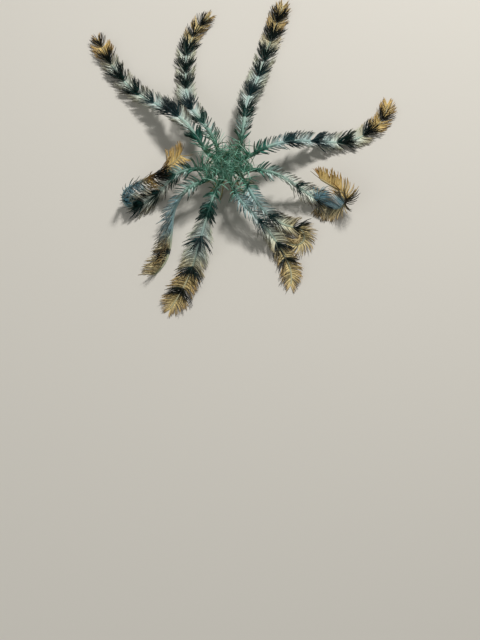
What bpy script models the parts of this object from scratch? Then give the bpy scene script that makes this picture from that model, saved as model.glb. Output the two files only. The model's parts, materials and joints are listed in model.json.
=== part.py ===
"""Feather star, a ten-armed comatulid, at life size and at rest on the floor.

Units are metres and +Z is up. The origin is on the floor, under the middle of the
animal's bounding box. A small body stands on a ring of hooked cirri. Five rays leave
the body and each one forks, which gives ten arms. The arms leave the body above the
floor and come down to lie on it. Every arm is parted into four lengths.
"""

import math
from collections import namedtuple

import bmesh
import bpy
import numpy as np

MM = 0.001

# Whole animal
GAP = 0.3 * MM
BODY_X = -7.85 * MM
BODY_Y = -14.62 * MM

# Disc, the soft pouch on top of the body
DISC_RADIUS = 6.0 * MM
DISC_UNDERSIDE = 14.2 * MM
DISC_HEIGHT = 3.6 * MM
DISC_LOBE = 0.5 * MM
MOUTH_RADIUS = 1.3 * MM
MOUTH_DEPTH = 1.0 * MM
ANAL_TUBE_HEIGHT = 3.4 * MM
ANAL_TUBE_RADIUS = 0.9 * MM
ANAL_TUBE_OFFSET = 3.2 * MM
ANAL_TUBE_HEADING = 86.0

# Centrodorsal, the knob that carries the rays and the cirri
KNOB_TOP = 13.9 * MM
KNOB_TOP_RADIUS = 2.5 * MM
KNOB_RADIUS = 3.1 * MM
KNOB_WIDEST = 10.0 * MM
KNOB_BOTTOM = 7.2 * MM
KNOB_STEPS = 20

# Cirri, the hooked legs under the body
CIRRUS_COUNT = 12
CIRRUS_HEIGHT = 9.2 * MM
CIRRUS_REACH = 9.6 * MM
CIRRUS_SPREAD = 1.2 * MM
CIRRUS_RADIUS = 0.5 * MM
CIRRUS_TIP_RADIUS = 0.36 * MM
CIRRUS_POINTS = 10

# Rays and their forks
RAY_HEADINGS = (132.0, 40.0, -28.0, -94.0, -155.0)
RAY_RADIUS = 1.4 * MM
RAY_HEIGHT = 12.3 * MM
FORK_DISTANCE = 5.0 * MM
FORK_HALF_ANGLE = 28.0
STUB_LENGTH = 2.9 * MM
STUB_RADIUS = 1.15 * MM

# Arms
ARM_RADIUS = 1.15 * MM
ARM_TIP_RADIUS = 0.5 * MM
CREST_DISTANCE = 14.0 * MM
SETTLE = 0.45
SAMPLE = 0.5 * MM
SMOOTHING = 5.0 * MM
STATION_LENGTH = 3.6 * MM
STATION_TURN = 14.0
LEG_TURN = 75.0
LENGTH_NAMES = ("inner", "middle", "outer", "tip")

# Pinnules, the side branches in a row along each side of an arm
PINNULE_LENGTH = 8.6 * MM
PINNULE_RADIUS = 0.46 * MM
PINNULE_BEND_RADIUS = 0.37 * MM
PINNULE_TIP_RADIUS = 0.14 * MM
PINNULE_SPACING = 4.4 * MM
PINNULE_BEND = 0.5
PINNULE_SLANT = 62.0
PINNULE_RISE = 30.0
PINNULE_CURL = 20.0
PINNULE_LIFT_CURL = 0.22
PINNULE_VARIATION = 2.5
SLIMMEST_SHARE = 0.85
ROW_STAGGER = 0.15

# Oral pinnules, those nearest the body, which stand up and then bend in over the disc
ORAL_ZONE = 13.0 * MM
ORAL_LENGTH = 10.5 * MM
ORAL_RISE = 62.0
ORAL_UP = 0.86
ORAL_OVER = 0.3
ORAL_HEIGHT = 19.0 * MM
ORAL_END = 2.4 * MM
GUIDE_POINTS = 24

# Pinnules of an arm's end, shorter and pointing forwards
END_ZONE = 13.0 * MM
END_LENGTH = 3.2 * MM
END_SLANT = 36.0

# How a pinnule keeps clear: it stands up more, and only then is made shorter
FLOOR_ROOM = 0.3 * MM
SIDE_ROOM = 0.2 * MM
NEAR_LENGTH = 12.0 * MM
ROLL_ZONE = 12.0 * MM
LIFTS = (0.0, 0.15, 0.3, 0.45, 0.6, 0.75, 0.9, 1.05, 1.2, 1.35)
SHARES = (1.0, 0.85, 0.7, 0.55, 0.4)
PROBES = (0.3, 0.45, 0.6, 0.8, 1.0)
SEED = 7

# Each arm leaves a fork on its left (+1) or right (-1). The crest is the height that
# it rises to and the landing is how far along it meets the floor, both in mm. Its
# bends are arcs, each a length in mm and a turn to the left in degrees. A fold is
# where the arm doubles back over itself: how far along that starts, how long the
# rise takes and how high the tip is carried, in mm. A roll tips both rows of
# pinnules to the right: how far along it starts, in mm, and the angle in degrees.
Arm = namedtuple("Arm", "ray side crest landing bends fold roll", defaults=(None, None))
ARMS = (
    Arm(0, -1, 14.0, 60, ((10, 16), (18, 4), (12, -28), (24, -4), (18, -26), (14, -20))),
    Arm(1, 1, 14.5, 62, ((6, 14), (24, 4), (12, -14), (10, 4), (48, -2))),
    Arm(1, -1, 14.5, 58, ((6, 16), (14, -2), (14, -10), (20, -8), (10, 22), (10, 14), (10, 26), (6, 20))),
    Arm(2, 1, 14.0, 46, ((10, -16), (18, -8), (18, -2), (6, 10), (7, 160), (15, 0)), fold=(49, 10, 7)),
    Arm(2, -1, 13.5, 42, ((6, -10), (8, 0), (8, 24), (12, 34), (6, 4), (18, -220))),
    Arm(3, 1, 13.5, 46, ((10, -2), (8, 26), (12, 2), (10, -16), (12, -14), (11, -30))),
    Arm(3, -1, 13.5, 50, ((10, 16), (20, 0), (14, -1), (16, -8), (11, -7))),
    Arm(4, 1, 13.5, 46, ((8, -33), (9, 18), (8, 20), (7, 24), (12, 0), (9, -20), (9, -24)), roll=(16, 60)),
    Arm(
        4, -1, 13.5, 38,
        ((8, 14), (8, 10), (8, 20), (12, -16), (9, -10), (7, -165), (26, 6), (8, 28)),
        fold=(43, 11, 9), roll=(42, 60),
    ),
    Arm(0, 1, 15.5, 70, ((6, -42), (16, 0), (12, 12), (16, 8), (12, -10), (14, -8), (14, -10), (10, 0))),
)

Line = namedtuple("Line", "along points headings radii")
Spine = namedtuple("Spine", "points radii")


def clear_scene():
    """Empty the scene of objects."""
    for item in list(bpy.data.objects):
        bpy.data.objects.remove(item, do_unlink=True)


def ease(value):
    """Rise smoothly from 0 to 1 as the value goes from 0 to 1, flat at both ends."""
    held = np.clip(value, 0.0, 1.0)
    return held * held * (3.0 - 2.0 * held)


def heading_vector(heading):
    """Level unit vector for a heading in degrees, counted from +X towards +Y."""
    angle = math.radians(heading)
    return np.array((math.cos(angle), math.sin(angle), 0.0))


def body_point(heading, distance, height):
    """Point at a heading and a distance from the body's axis."""
    return np.array((BODY_X, BODY_Y, height)) + distance * heading_vector(heading)


def arm_start(arm):
    """First point of an arm and the heading it leaves its fork with."""
    heading = RAY_HEADINGS[arm.ray] + arm.side * FORK_HALF_ANGLE
    fork = body_point(RAY_HEADINGS[arm.ray], FORK_DISTANCE, RAY_HEIGHT)
    return fork + (STUB_LENGTH + GAP) * heading_vector(heading), heading


def evened(values, width):
    """Running mean over a number of neighbours, with the ends held."""
    half = width // 2
    padded = np.pad(values, half, mode="edge")
    return np.convolve(padded, np.ones(2 * half + 1) / (2 * half + 1), mode="valid")


def arm_heights(arm, along, radii):
    """Height of the centreline: up to the crest, down to the floor, up again at a fold."""
    lying = SETTLE * radii
    high = RAY_HEIGHT + (arm.crest * MM - RAY_HEIGHT) * ease(along / CREST_DISTANCE)
    fall = ease((along - CREST_DISTANCE) / (arm.landing * MM - CREST_DISTANCE))
    heights = high + (lying - high) * fall
    if arm.fold:
        start, length, height = (value * MM for value in arm.fold)
        heights = heights + height * ease((along - start) / length)
    return heights


def centreline(arm):
    """Points, headings and radii along an arm, a SAMPLE apart.

    The heading turns evenly along each bend and is then smoothed. The plan is the
    running sum of steps along that heading.
    """
    start, heading = arm_start(arm)
    lengths = np.array([bend[0] for bend in arm.bends]) * MM
    turns = np.array([bend[1] for bend in arm.bends])
    corners = np.concatenate(((0.0,), np.cumsum(lengths)))
    turned = np.concatenate(((0.0,), np.cumsum(turns)))
    along = np.linspace(0.0, corners[-1], round(corners[-1] / SAMPLE) + 1)
    smooth_turn = evened(np.interp(along, corners, turned), round(SMOOTHING / SAMPLE))
    headings = np.radians(heading + smooth_turn - smooth_turn[0])
    middle = 0.5 * (headings[1:] + headings[:-1])
    steps = np.diff(along)
    radii = ARM_RADIUS + (ARM_TIP_RADIUS - ARM_RADIUS) * (along / along[-1])
    points = np.zeros((len(along), 3))
    points[1:, 0] = np.cumsum(np.cos(middle) * steps)
    points[1:, 1] = np.cumsum(np.sin(middle) * steps)
    points[:, :2] += start[:2]
    points[:, 2] = arm_heights(arm, along, radii)
    return Line(along, points, headings, radii)


def cut_distances(arm, line):
    """Distances along an arm where it starts, is parted and ends."""
    total = line.along[-1]
    if arm.fold:
        apex = (arm.fold[0] + 0.5 * arm.fold[1]) * MM
        return (0.0, apex / 3, 2 * apex / 3, apex, total)
    return tuple(total * step / len(LENGTH_NAMES) for step in range(len(LENGTH_NAMES) + 1))


def at(line, distances):
    """Points, level left-hand vectors and radii of a centreline at some distances."""
    points = np.stack([np.interp(distances, line.along, line.points[:, axis]) for axis in range(3)], axis=1)
    headings = np.interp(distances, line.along, line.headings)
    left = np.stack((-np.sin(headings), np.cos(headings), np.zeros(len(headings))), axis=1)
    return points, left, np.interp(distances, line.along, line.radii)


def stations(line, first, last):
    """Distances from first to last, closer together where the arm bends."""
    inside = line.along[(line.along > first) & (line.along < last)]
    fine = np.concatenate(((first,), inside, (last,)))
    headings = np.degrees(np.interp(fine, line.along, line.headings))
    spent = np.diff(fine) / STATION_LENGTH + np.abs(np.diff(headings)) / STATION_TURN
    total = np.concatenate(((0.0,), np.cumsum(spent)))
    count = max(3, math.ceil(total[-1]) + 1)
    return np.interp(np.linspace(0.0, total[-1], count), total, fine)


def make_material(name, colour, roughness):
    """Principled material with a linear base colour."""
    material = bpy.data.materials.new(name)
    material.use_nodes = True
    shader = material.node_tree.nodes["Principled BSDF"]
    shader.inputs["Base Color"].default_value = (*colour, 1.0)
    shader.inputs["Roughness"].default_value = roughness
    shader.inputs["Metallic"].default_value = 0.0
    return material


def add_mesh(name, mesh, material, collection):
    """Object for a mesh, in a collection, with its material."""
    item = bpy.data.objects.new(name, mesh)
    mesh.materials.clear()
    mesh.materials.append(material)
    collection.objects.link(item)
    return item


def add_tube(name, points, radii, collection, resolution=1):
    """Curve object: a tapered tube with capped ends through some points."""
    curve = bpy.data.curves.new(name, "CURVE")
    curve.dimensions = "3D"
    curve.bevel_depth = 1.0
    curve.bevel_resolution = resolution
    curve.use_fill_caps = True
    spline = curve.splines.new("POLY")
    spline.points.add(len(points) - 1)
    for point, place, radius in zip(spline.points, points, radii):
        point.co = (*place, 1.0)
        point.radius = radius
    item = bpy.data.objects.new(name, curve)
    collection.objects.link(item)
    return item


def tube_to_mesh(tube, material, collection):
    """Replace a tube by a mesh object with welded caps and nothing below the floor."""
    evaluated = tube.evaluated_get(bpy.context.evaluated_depsgraph_get())
    mesh = bpy.data.meshes.new_from_object(evaluated)
    name = tube.name
    bpy.data.objects.remove(tube, do_unlink=True)
    shape = bmesh.new()
    shape.from_mesh(mesh)
    bmesh.ops.remove_doubles(shape, verts=shape.verts, dist=0.001 * MM)
    for vertex in shape.verts:
        vertex.co.z = max(vertex.co.z, 0.0)
    bmesh.ops.recalc_face_normals(shape, faces=shape.faces)
    shape.to_mesh(mesh)
    shape.free()
    return add_mesh(name, mesh, material, collection)


def keep_largest_surface(item):
    """Drop every loose surface of a mesh but the one with the most area."""
    shape = bmesh.new()
    shape.from_mesh(item.data)
    unseen = set(shape.faces)
    surfaces = []
    while unseen:
        reached = [unseen.pop()]
        surface = list(reached)
        while reached:
            face = reached.pop()
            for edge in face.edges:
                for neighbour in edge.link_faces:
                    if neighbour in unseen:
                        unseen.remove(neighbour)
                        reached.append(neighbour)
                        surface.append(neighbour)
        surfaces.append(surface)
    surfaces.sort(key=lambda surface: sum(face.calc_area() for face in surface))
    for surface in surfaces[:-1]:
        bmesh.ops.delete(shape, geom=surface, context="FACES")
    shape.to_mesh(item.data)
    shape.free()


def join(item, pieces):
    """Fuse a collection of closed meshes into an item by one Boolean union."""
    union = item.modifiers.new("join", "BOOLEAN")
    union.operation = "UNION"
    union.operand_type = "COLLECTION"
    union.collection = pieces
    evaluated = item.evaluated_get(bpy.context.evaluated_depsgraph_get())
    joined = bpy.data.meshes.new_from_object(evaluated)
    item.modifiers.remove(union)
    item.data = joined
    for piece in list(pieces.objects):
        bpy.data.objects.remove(piece, do_unlink=True)
    bpy.data.collections.remove(pieces)
    keep_largest_surface(item)


def piece_collection():
    """Collection for the closed pieces of one union."""
    pieces = bpy.data.collections.new("pieces")
    bpy.context.scene.collection.children.link(pieces)
    return pieces


def make_disc(collection, material):
    """Soft, five-lobed pouch with the mouth's pit in its middle and a raised anal tube."""
    shape = bmesh.new()
    bmesh.ops.create_uvsphere(shape, u_segments=24, v_segments=12, radius=1.0)
    for vertex in shape.verts:
        x, y, z = vertex.co
        out = math.hypot(x, y)
        turn = math.atan2(y, x)
        lobe = 1.0 + DISC_LOBE / DISC_RADIUS * math.cos(5.0 * (turn - math.radians(RAY_HEADINGS[1])))
        pit = MOUTH_DEPTH * math.exp(-((out * DISC_RADIUS / MOUTH_RADIUS) ** 2)) if z > 0.0 else 0.0
        vertex.co.x = BODY_X + x * DISC_RADIUS * lobe
        vertex.co.y = BODY_Y + y * DISC_RADIUS * lobe
        vertex.co.z = DISC_UNDERSIDE + max(z, 0.0) * DISC_HEIGHT - pit
    bmesh.ops.remove_doubles(shape, verts=shape.verts, dist=0.001 * MM)
    bmesh.ops.dissolve_degenerate(shape, edges=shape.edges, dist=0.001 * MM)
    mesh = bpy.data.meshes.new("disc")
    shape.to_mesh(mesh)
    shape.free()
    disc = add_mesh("disc", mesh, material, collection)
    pieces = piece_collection()
    root = body_point(ANAL_TUBE_HEADING, ANAL_TUBE_OFFSET, DISC_UNDERSIDE + 0.4 * DISC_HEIGHT)
    mid = root + np.array((0.0, 0.0, 0.6 * ANAL_TUBE_HEIGHT))
    top = root + np.array((0.0, 0.3 * MM, ANAL_TUBE_HEIGHT))
    radii = (1.4 * ANAL_TUBE_RADIUS, ANAL_TUBE_RADIUS, 0.7 * ANAL_TUBE_RADIUS)
    tube_to_mesh(add_tube("anal_tube", (root, mid, top), radii, pieces), material, pieces)
    join(disc, pieces)


def make_knob(collection, material):
    """Centrodorsal: a turned knob, widest where the cirri leave it."""
    profile = (
        (0.0, KNOB_TOP),
        (KNOB_TOP_RADIUS, KNOB_TOP),
        (KNOB_TOP_RADIUS, RAY_HEIGHT - RAY_RADIUS),
        (KNOB_RADIUS, KNOB_WIDEST),
        (KNOB_RADIUS, CIRRUS_HEIGHT - 2 * CIRRUS_RADIUS),
        (0.6 * KNOB_RADIUS, KNOB_BOTTOM),
        (0.0, KNOB_BOTTOM),
    )
    mesh = bpy.data.meshes.new("centrodorsal")
    edges = [(step, step + 1) for step in range(len(profile) - 1)]
    mesh.from_pydata([(out, 0.0, height) for out, height in profile], edges, [])
    knob = add_mesh("centrodorsal", mesh, material, collection)
    knob.location = (BODY_X, BODY_Y, 0.0)
    screw = knob.modifiers.new("turn", "SCREW")
    screw.steps = KNOB_STEPS
    screw.render_steps = KNOB_STEPS
    screw.use_merge_vertices = True
    screw.merge_threshold = 0.01 * MM


def make_ray(number, collection, material):
    """One ray: a short trunk from the knob and the two stubs that its arms meet."""
    heading = RAY_HEADINGS[number]
    root = body_point(heading, KNOB_TOP_RADIUS + GAP, RAY_HEIGHT)
    fork = body_point(heading, FORK_DISTANCE, RAY_HEIGHT)
    trunk = add_tube(f"ray_{number + 1}", (root, fork), (RAY_RADIUS, RAY_RADIUS), collection)
    ray = tube_to_mesh(trunk, material, collection)
    pieces = piece_collection()
    for side in (-1, 1):
        way = heading_vector(heading + side * FORK_HALF_ANGLE)
        ends = (fork - 0.5 * RAY_RADIUS * way, fork + STUB_LENGTH * way)
        stub = add_tube("stub", ends, (STUB_RADIUS, STUB_RADIUS), pieces)
        tube_to_mesh(stub, material, pieces)
    join(ray, pieces)


def make_cirrus(number, collection, material):
    """One hooked leg: out from the knob, down in a curve, and flat on the floor at its end."""
    heading = 360.0 * (number + 0.5) / CIRRUS_COUNT
    part = np.linspace(0.0, 1.0, CIRRUS_POINTS)
    radii = CIRRUS_RADIUS + (CIRRUS_TIP_RADIUS - CIRRUS_RADIUS) * part
    reach = CIRRUS_REACH + CIRRUS_SPREAD * math.cos(math.radians(3.0 * heading))
    lying = SETTLE * radii
    heights = lying + (CIRRUS_HEIGHT - lying) * (1.0 - ease(1.2 * part))
    root = body_point(heading, KNOB_RADIUS + GAP, 0.0)
    points = root + part[:, None] * reach * heading_vector(heading)
    points[:, 2] = heights
    name = f"cirrus_{number + 1:02d}"
    tube_to_mesh(add_tube(name, points, radii, collection), material, collection)


def unit(vector):
    """The vector made one long."""
    return vector / np.linalg.norm(vector)


def guide(line):
    """Points from an arm's start in over the disc, which part the oral pinnules of the arms."""
    part = np.linspace(1.0, 0.0, GUIDE_POINTS, endpoint=False)
    start = line.points[0]
    out = start[:2] - (BODY_X, BODY_Y)
    reach = np.linalg.norm(out)
    shares = (ORAL_END + (reach - ORAL_END) * part) / reach
    heights = start[2] + (ORAL_HEIGHT - start[2]) * ease(2.0 * (1.0 - part))
    return np.column_stack((BODY_X + out[0] * shares, BODY_Y + out[1] * shares, heights))


def direction(forward, left, up, slant, fan):
    """Unit vector at a slant from the arm's way and a fan angle from its left towards up."""
    across = math.cos(math.radians(fan)) * left + math.sin(math.radians(fan)) * up
    return math.cos(math.radians(slant)) * forward + math.sin(math.radians(slant)) * across


def roll_at(arm, distance):
    """How far the rows are tipped to the right at a distance along an arm, in degrees."""
    if arm.roll is None:
        return 0.0
    start, angle = arm.roll
    return angle * float(ease((distance - start * MM) / ROLL_ZONE))


def pinnule(index, lines, distance, side, turns, lift, share):
    """Spine of one pinnule: a root in the arm's middle, a bend and a tip.

    The lift stands it up from its natural rise, where 1 is upright. The share
    shortens it. Turns are its own small changes of slant and rise.
    """
    line = lines[index]
    near = (distance - SAMPLE, distance, distance + SAMPLE)
    points, lefts, radii = at(line, np.clip(near, 0.0, line.along[-1]))
    forward = unit(points[2] - points[0])
    up = np.cross(forward, lefts[1])
    oral = 1.0 - float(ease(distance / ORAL_ZONE))
    end = 1.0 - float(ease((line.along[-1] - distance) / END_ZONE))
    slant = PINNULE_SLANT + end * (END_SLANT - PINNULE_SLANT) + turns[0]
    rise = PINNULE_RISE + oral * (ORAL_RISE - PINNULE_RISE) + turns[1]
    length = PINNULE_LENGTH + oral * (ORAL_LENGTH - PINNULE_LENGTH) + end * (END_LENGTH - PINNULE_LENGTH)
    fan = (rise if side > 0 else 180.0 - rise) + roll_at(ARMS[index], distance)
    fan = min(max(fan, 4.0), 176.0)
    fan += lift * (90.0 - fan)
    root = points[1]
    inward = unit(np.array((BODY_X - root[0], BODY_Y - root[1], 0.0)))
    first = direction(forward, lefts[1], up, slant, fan)
    first = unit((1.0 - oral) * first + oral * (ORAL_UP * up + (1.0 - ORAL_UP) * inward))
    bend = root + PINNULE_BEND * share * length * first
    later_fan = fan + PINNULE_LIFT_CURL * (90.0 - fan)
    second = direction(forward, lefts[1], up, slant - PINNULE_CURL, later_fan)
    second = unit((1.0 - oral) * second + oral * (ORAL_OVER * up + (1.0 - ORAL_OVER) * inward))
    tip = bend + (1.0 - PINNULE_BEND) * share * length * second
    slim = min(1.0, SLIMMEST_SHARE * radii[1] / PINNULE_RADIUS)
    widths = np.array((PINNULE_RADIUS * slim, PINNULE_BEND_RADIUS * slim, PINNULE_TIP_RADIUS))
    path = np.array((root, bend, tip))
    path[1:, 2] = np.maximum(path[1:, 2], widths[1:] + FLOOR_ROOM)
    return Spine(path, widths)


def probes(spine):
    """Points along a spine out from its root, and the spine's radius at each."""
    places = np.array(PROBES)
    knots = (0.0, PINNULE_BEND, 1.0)
    points = np.stack([np.interp(places, knots, spine.points[:, axis]) for axis in range(3)], axis=1)
    return points, np.interp(places, knots, spine.radii)


def nearest(points, others):
    """Distance from each point to the nearest of some others."""
    return np.linalg.norm(points[:, None, :] - others[None, :, :], axis=2).min(axis=1)


def clear_of_disc(points, radii):
    """Whether points stay out of the disc's dome and its anal tube."""
    room = radii + GAP
    out = np.hypot(points[:, 0] - BODY_X, points[:, 1] - BODY_Y)
    wide = DISC_RADIUS + DISC_LOBE + room
    high = DISC_HEIGHT + room
    above = points[:, 2] - DISC_UNDERSIDE
    inside = (out / wide) ** 2 + (np.maximum(above, 0.0) / high) ** 2 < 1.0
    foot = body_point(ANAL_TUBE_HEADING, ANAL_TUBE_OFFSET, 0.0)
    from_tube = np.hypot(points[:, 0] - foot[0], points[:, 1] - foot[1])
    in_tube = from_tube < 1.5 * ANAL_TUBE_RADIUS + room
    return not bool((inside & (above > -room)).any() or in_tube.any())


def is_clear(index, lines, distance, spine):
    """Whether a spine keeps to its own arm's side of every other arm, leg and the disc."""
    points, radii = probes(spine)
    own = lines[index]
    heading = np.interp(distance, own.along, own.headings)
    other_leg = np.abs(own.headings - heading) > math.radians(LEG_TURN)
    same_leg = (np.abs(own.along - distance) < NEAR_LENGTH) & ~other_leg
    others = [own.points[other_leg]]
    for line in lines[:index] + lines[index + 1:]:
        others.extend((guide(line), line.points))
    kept = np.concatenate((guide(own), own.points[same_leg]))
    spare = nearest(points, np.concatenate(others)) - nearest(points, kept)
    return bool((spare >= 2.0 * (radii + SIDE_ROOM)).all()) and clear_of_disc(points, radii)


def clear_pinnule(index, lines, distance, side, turns):
    """The longest, least lifted spine at a root that is clear of all others, if any is."""
    for share in SHARES:
        for lift in LIFTS:
            spine = pinnule(index, lines, distance, side, turns, lift, share)
            if is_clear(index, lines, distance, spine):
                return spine
    return None


def root_distances(first, last, side):
    """Distances of the roots in one row, evenly spaced and off the ends of a length."""
    count = max(1, round((last - first) / PINNULE_SPACING))
    return first + (np.arange(count) + 0.5 + side * ROW_STAGGER) * (last - first) / count


def make_arm_length(name, index, lines, first, last, draws, collection, material):
    """One length of arm with its two rows of pinnules fused to it."""
    distances = stations(lines[index], first, last)
    points, _, radii = at(lines[index], distances)
    arm_length = tube_to_mesh(add_tube(name, points, radii, collection), material, collection)
    pieces = piece_collection()
    for side in (1, -1):
        for distance in root_distances(first, last, side):
            turns = draws.uniform(-PINNULE_VARIATION, PINNULE_VARIATION, 2)
            spine = clear_pinnule(index, lines, distance, side, turns)
            if spine:
                tube = add_tube("pinnule", spine.points, spine.radii, pieces, resolution=0)
                tube_to_mesh(tube, material, pieces)
    join(arm_length, pieces)


def make_arm(index, lines, draws, collection, material):
    """One arm, parted into its lengths by thin cuts."""
    cuts = cut_distances(ARMS[index], lines[index])
    for part, part_name in enumerate(LENGTH_NAMES):
        first = cuts[part] + (0.5 * GAP if part else 0.0)
        last = cuts[part + 1] - (0.5 * GAP if part < len(LENGTH_NAMES) - 1 else 0.0)
        name = f"arm_{index + 1:02d}_{part_name}"
        make_arm_length(name, index, lines, first, last, draws, collection, material)


def main():
    """Make every part of the animal."""
    clear_scene()
    animal = bpy.data.collections.new("feather_star")
    bpy.context.scene.collection.children.link(animal)
    make_disc(animal, make_material("disc_skin", (0.02, 0.14, 0.09), 0.4))
    make_knob(animal, make_material("knob_skin", (0.05, 0.12, 0.09), 0.5))
    for number in range(len(RAY_HEADINGS)):
        make_ray(number, animal, make_material(f"ray_{number + 1}_skin", (0.04, 0.17, 0.12), 0.4))
    for number in range(CIRRUS_COUNT):
        make_cirrus(number, animal, make_material(f"cirrus_{number + 1}_skin", (0.3, 0.26, 0.08), 0.45))
    lines = [centreline(arm) for arm in ARMS]
    draws = np.random.default_rng(SEED)
    for index in range(len(ARMS)):
        make_arm(index, lines, draws, animal, make_material(f"arm_{index + 1}_skin", (0.05, 0.2, 0.17), 0.4))


main()
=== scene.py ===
# %% [markdown]
# # A feather star, dressed from numpy surfaces
# A feather star is an animal made of a small body and ten long arms. Each arm is a
# chain of short plates of lime under a thin, wet skin, and carries a row of side
# branches, its pinnules, along both edges, so that it looks like a feather.
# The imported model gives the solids, their place and their size. Everything that is
# made here is laid over those solids, in metres, in the same frame. The lesson goes
# from the camera to the arms' lines, the skin, the pinnules, the underside and last
# the finishes, and every shape is a formula worked out on whole arrays.

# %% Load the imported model
import json
import math
from collections import namedtuple

import bpy
import numpy as np
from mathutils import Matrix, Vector

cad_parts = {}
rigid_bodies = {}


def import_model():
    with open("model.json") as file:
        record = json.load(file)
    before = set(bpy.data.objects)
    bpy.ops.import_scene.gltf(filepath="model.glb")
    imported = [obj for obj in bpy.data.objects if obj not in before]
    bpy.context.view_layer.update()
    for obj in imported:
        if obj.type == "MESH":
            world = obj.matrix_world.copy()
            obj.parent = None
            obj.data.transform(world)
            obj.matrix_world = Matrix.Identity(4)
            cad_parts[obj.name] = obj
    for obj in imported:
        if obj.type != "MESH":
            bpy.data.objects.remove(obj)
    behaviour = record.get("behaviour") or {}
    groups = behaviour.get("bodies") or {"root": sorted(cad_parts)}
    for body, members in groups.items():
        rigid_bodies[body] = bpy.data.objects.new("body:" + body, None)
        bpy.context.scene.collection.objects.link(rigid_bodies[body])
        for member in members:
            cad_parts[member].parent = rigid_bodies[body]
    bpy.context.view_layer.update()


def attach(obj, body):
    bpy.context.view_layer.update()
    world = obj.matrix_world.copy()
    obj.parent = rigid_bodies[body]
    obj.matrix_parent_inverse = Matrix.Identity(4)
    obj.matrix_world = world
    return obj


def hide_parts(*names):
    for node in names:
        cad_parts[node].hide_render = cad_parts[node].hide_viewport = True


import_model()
MM = 0.001
TURN = 2.0 * math.pi

# %% [markdown]
# ## The camera
# The photo looks down on the animal at a steep slant, from far enough away that near
# and far arms have almost one scale. A long lens does the same here. The camera is
# placed backwards from one thing that is easy to find in the picture: the middle of
# the body, its depth in front of the lens, and the pixel that it falls on.

# %% Place the camera
BODY_X = -7.85 * MM
BODY_Y = -14.62 * MM
PITCH = math.radians(66.0)
LENS = 100.0
SENSOR = 36.0
PICTURE = (480, 640)
BODY_PIXEL = (227, 162)
BODY_DEPTH = 889 * MM
BODY_EYE_HEIGHT = 16 * MM

camera_data = bpy.data.cameras.new("camera")
camera_data.lens = LENS
camera_data.sensor_width = SENSOR
camera = bpy.data.objects.new("camera", camera_data)
bpy.context.scene.collection.objects.link(camera)
bpy.context.scene.camera = camera

look = np.array((0.0, math.cos(PITCH), -math.sin(PITCH)))
picture_up = np.array((0.0, math.sin(PITCH), math.cos(PITCH)))
metres_per_pixel = BODY_DEPTH * SENSOR / LENS / max(PICTURE)
across = (BODY_PIXEL[0] - PICTURE[0] / 2) * metres_per_pixel
above = (PICTURE[1] / 2 - BODY_PIXEL[1]) * metres_per_pixel
eye = np.array((BODY_X, BODY_Y, BODY_EYE_HEIGHT)) - BODY_DEPTH * look - above * picture_up
eye[0] -= across
camera.location = eye
camera.rotation_euler = (math.pi / 2 - PITCH, 0.0, 0.0)
print(f"camera at {np.round(eye / MM)} mm, {metres_per_pixel / MM:.2f} mm to a pixel")

# %% [markdown]
# ## The studio
# The animal stands on a plain pale floor. In the photo the light comes from behind it
# and a little from the right, so the shadows fall towards the viewer. One large lamp
# stands there, big enough for a soft edge, and a weaker one in front and an even sky
# fill the shadows.


# %% Colours and nodes
def linear(code):
    """Linear red, green, blue and alpha of an sRGB hex colour.

    A channel at or below 0.04045 is divided by 12.92, and a brighter one has 0.055
    added, is divided by 1.055 and raised to the power 2.4.
    """
    srgb = np.array([int(code[start:start + 2], 16) for start in (1, 3, 5)]) / 255.0
    straight = np.where(srgb <= 0.04045, srgb / 12.92, ((srgb + 0.055) / 1.055) ** 2.4)
    return (*straight.tolist(), 1.0)


def feed(node, inputs):
    """Give inputs, by their names or numbers, a value, a hex colour, or the output
    that feeds them."""
    for socket, given in inputs.items():
        if isinstance(given, bpy.types.NodeSocket):
            node.id_data.links.new(given, node.inputs[socket])
        else:
            node.inputs[socket].default_value = linear(given) if isinstance(given, str) else given


def add_node(tree, kind, inputs=None, out=0, stops=(), **settings):
    """Add a node to a tree with its settings, what feeds it and, for a ramp, its stops,
    each a place from 0 to 1 and a hex colour. One of its outputs comes back."""
    node = tree.nodes.new(kind)
    for name, value in settings.items():
        setattr(node, name, value)
    feed(node, inputs or {})
    if stops:
        elements = node.color_ramp.elements
        while len(elements) < len(stops):
            elements.new(1.0)
        for element, (place, code) in zip(elements, stops):
            element.position = place
            element.color = linear(code)
    return node.outputs[out]


def new_finish(name):
    """A material, its node tree and the shader in it."""
    finish = bpy.data.materials.new(name)
    finish.use_nodes = True
    return finish, finish.node_tree, finish.node_tree.nodes["Principled BSDF"]


print("middle grey is", round(linear("#808080")[0], 3), "in linear light")

# %% The floor
FLOOR_HALF = 1.5
floor_mesh = bpy.data.meshes.new("floor")
corners = [(x * FLOOR_HALF, y * FLOOR_HALF, 0.0) for x, y in ((-1, -1), (1, -1), (1, 1), (-1, 1))]
floor_mesh.from_pydata(corners, [], [(0, 1, 2, 3)])
floor = bpy.data.objects.new("floor", floor_mesh)
bpy.context.scene.collection.objects.link(floor)
# Matt paint on board: no gloss, so that the eye takes it for plain paper.
floor_paint, tree, shader = new_finish("matt_paint_rolled")
feed(shader, {"Base Color": "#cfcac0", "Roughness": 0.9})
floor_mesh.materials.append(floor_paint)
print("floor:", 2.0 * FLOOR_HALF, "m wide")

# %% Lamps and sky
# Each lamp's name, its place and size in metres, and its power in watts.
LAMPS = (
    ("key", Vector((0.26, 0.52, 0.78)), 0.18, 9.0),
    ("fill", Vector((-0.55, -0.60, 0.60)), 0.8, 2.0),
)
SKY_STRENGTH = 0.22

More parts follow.
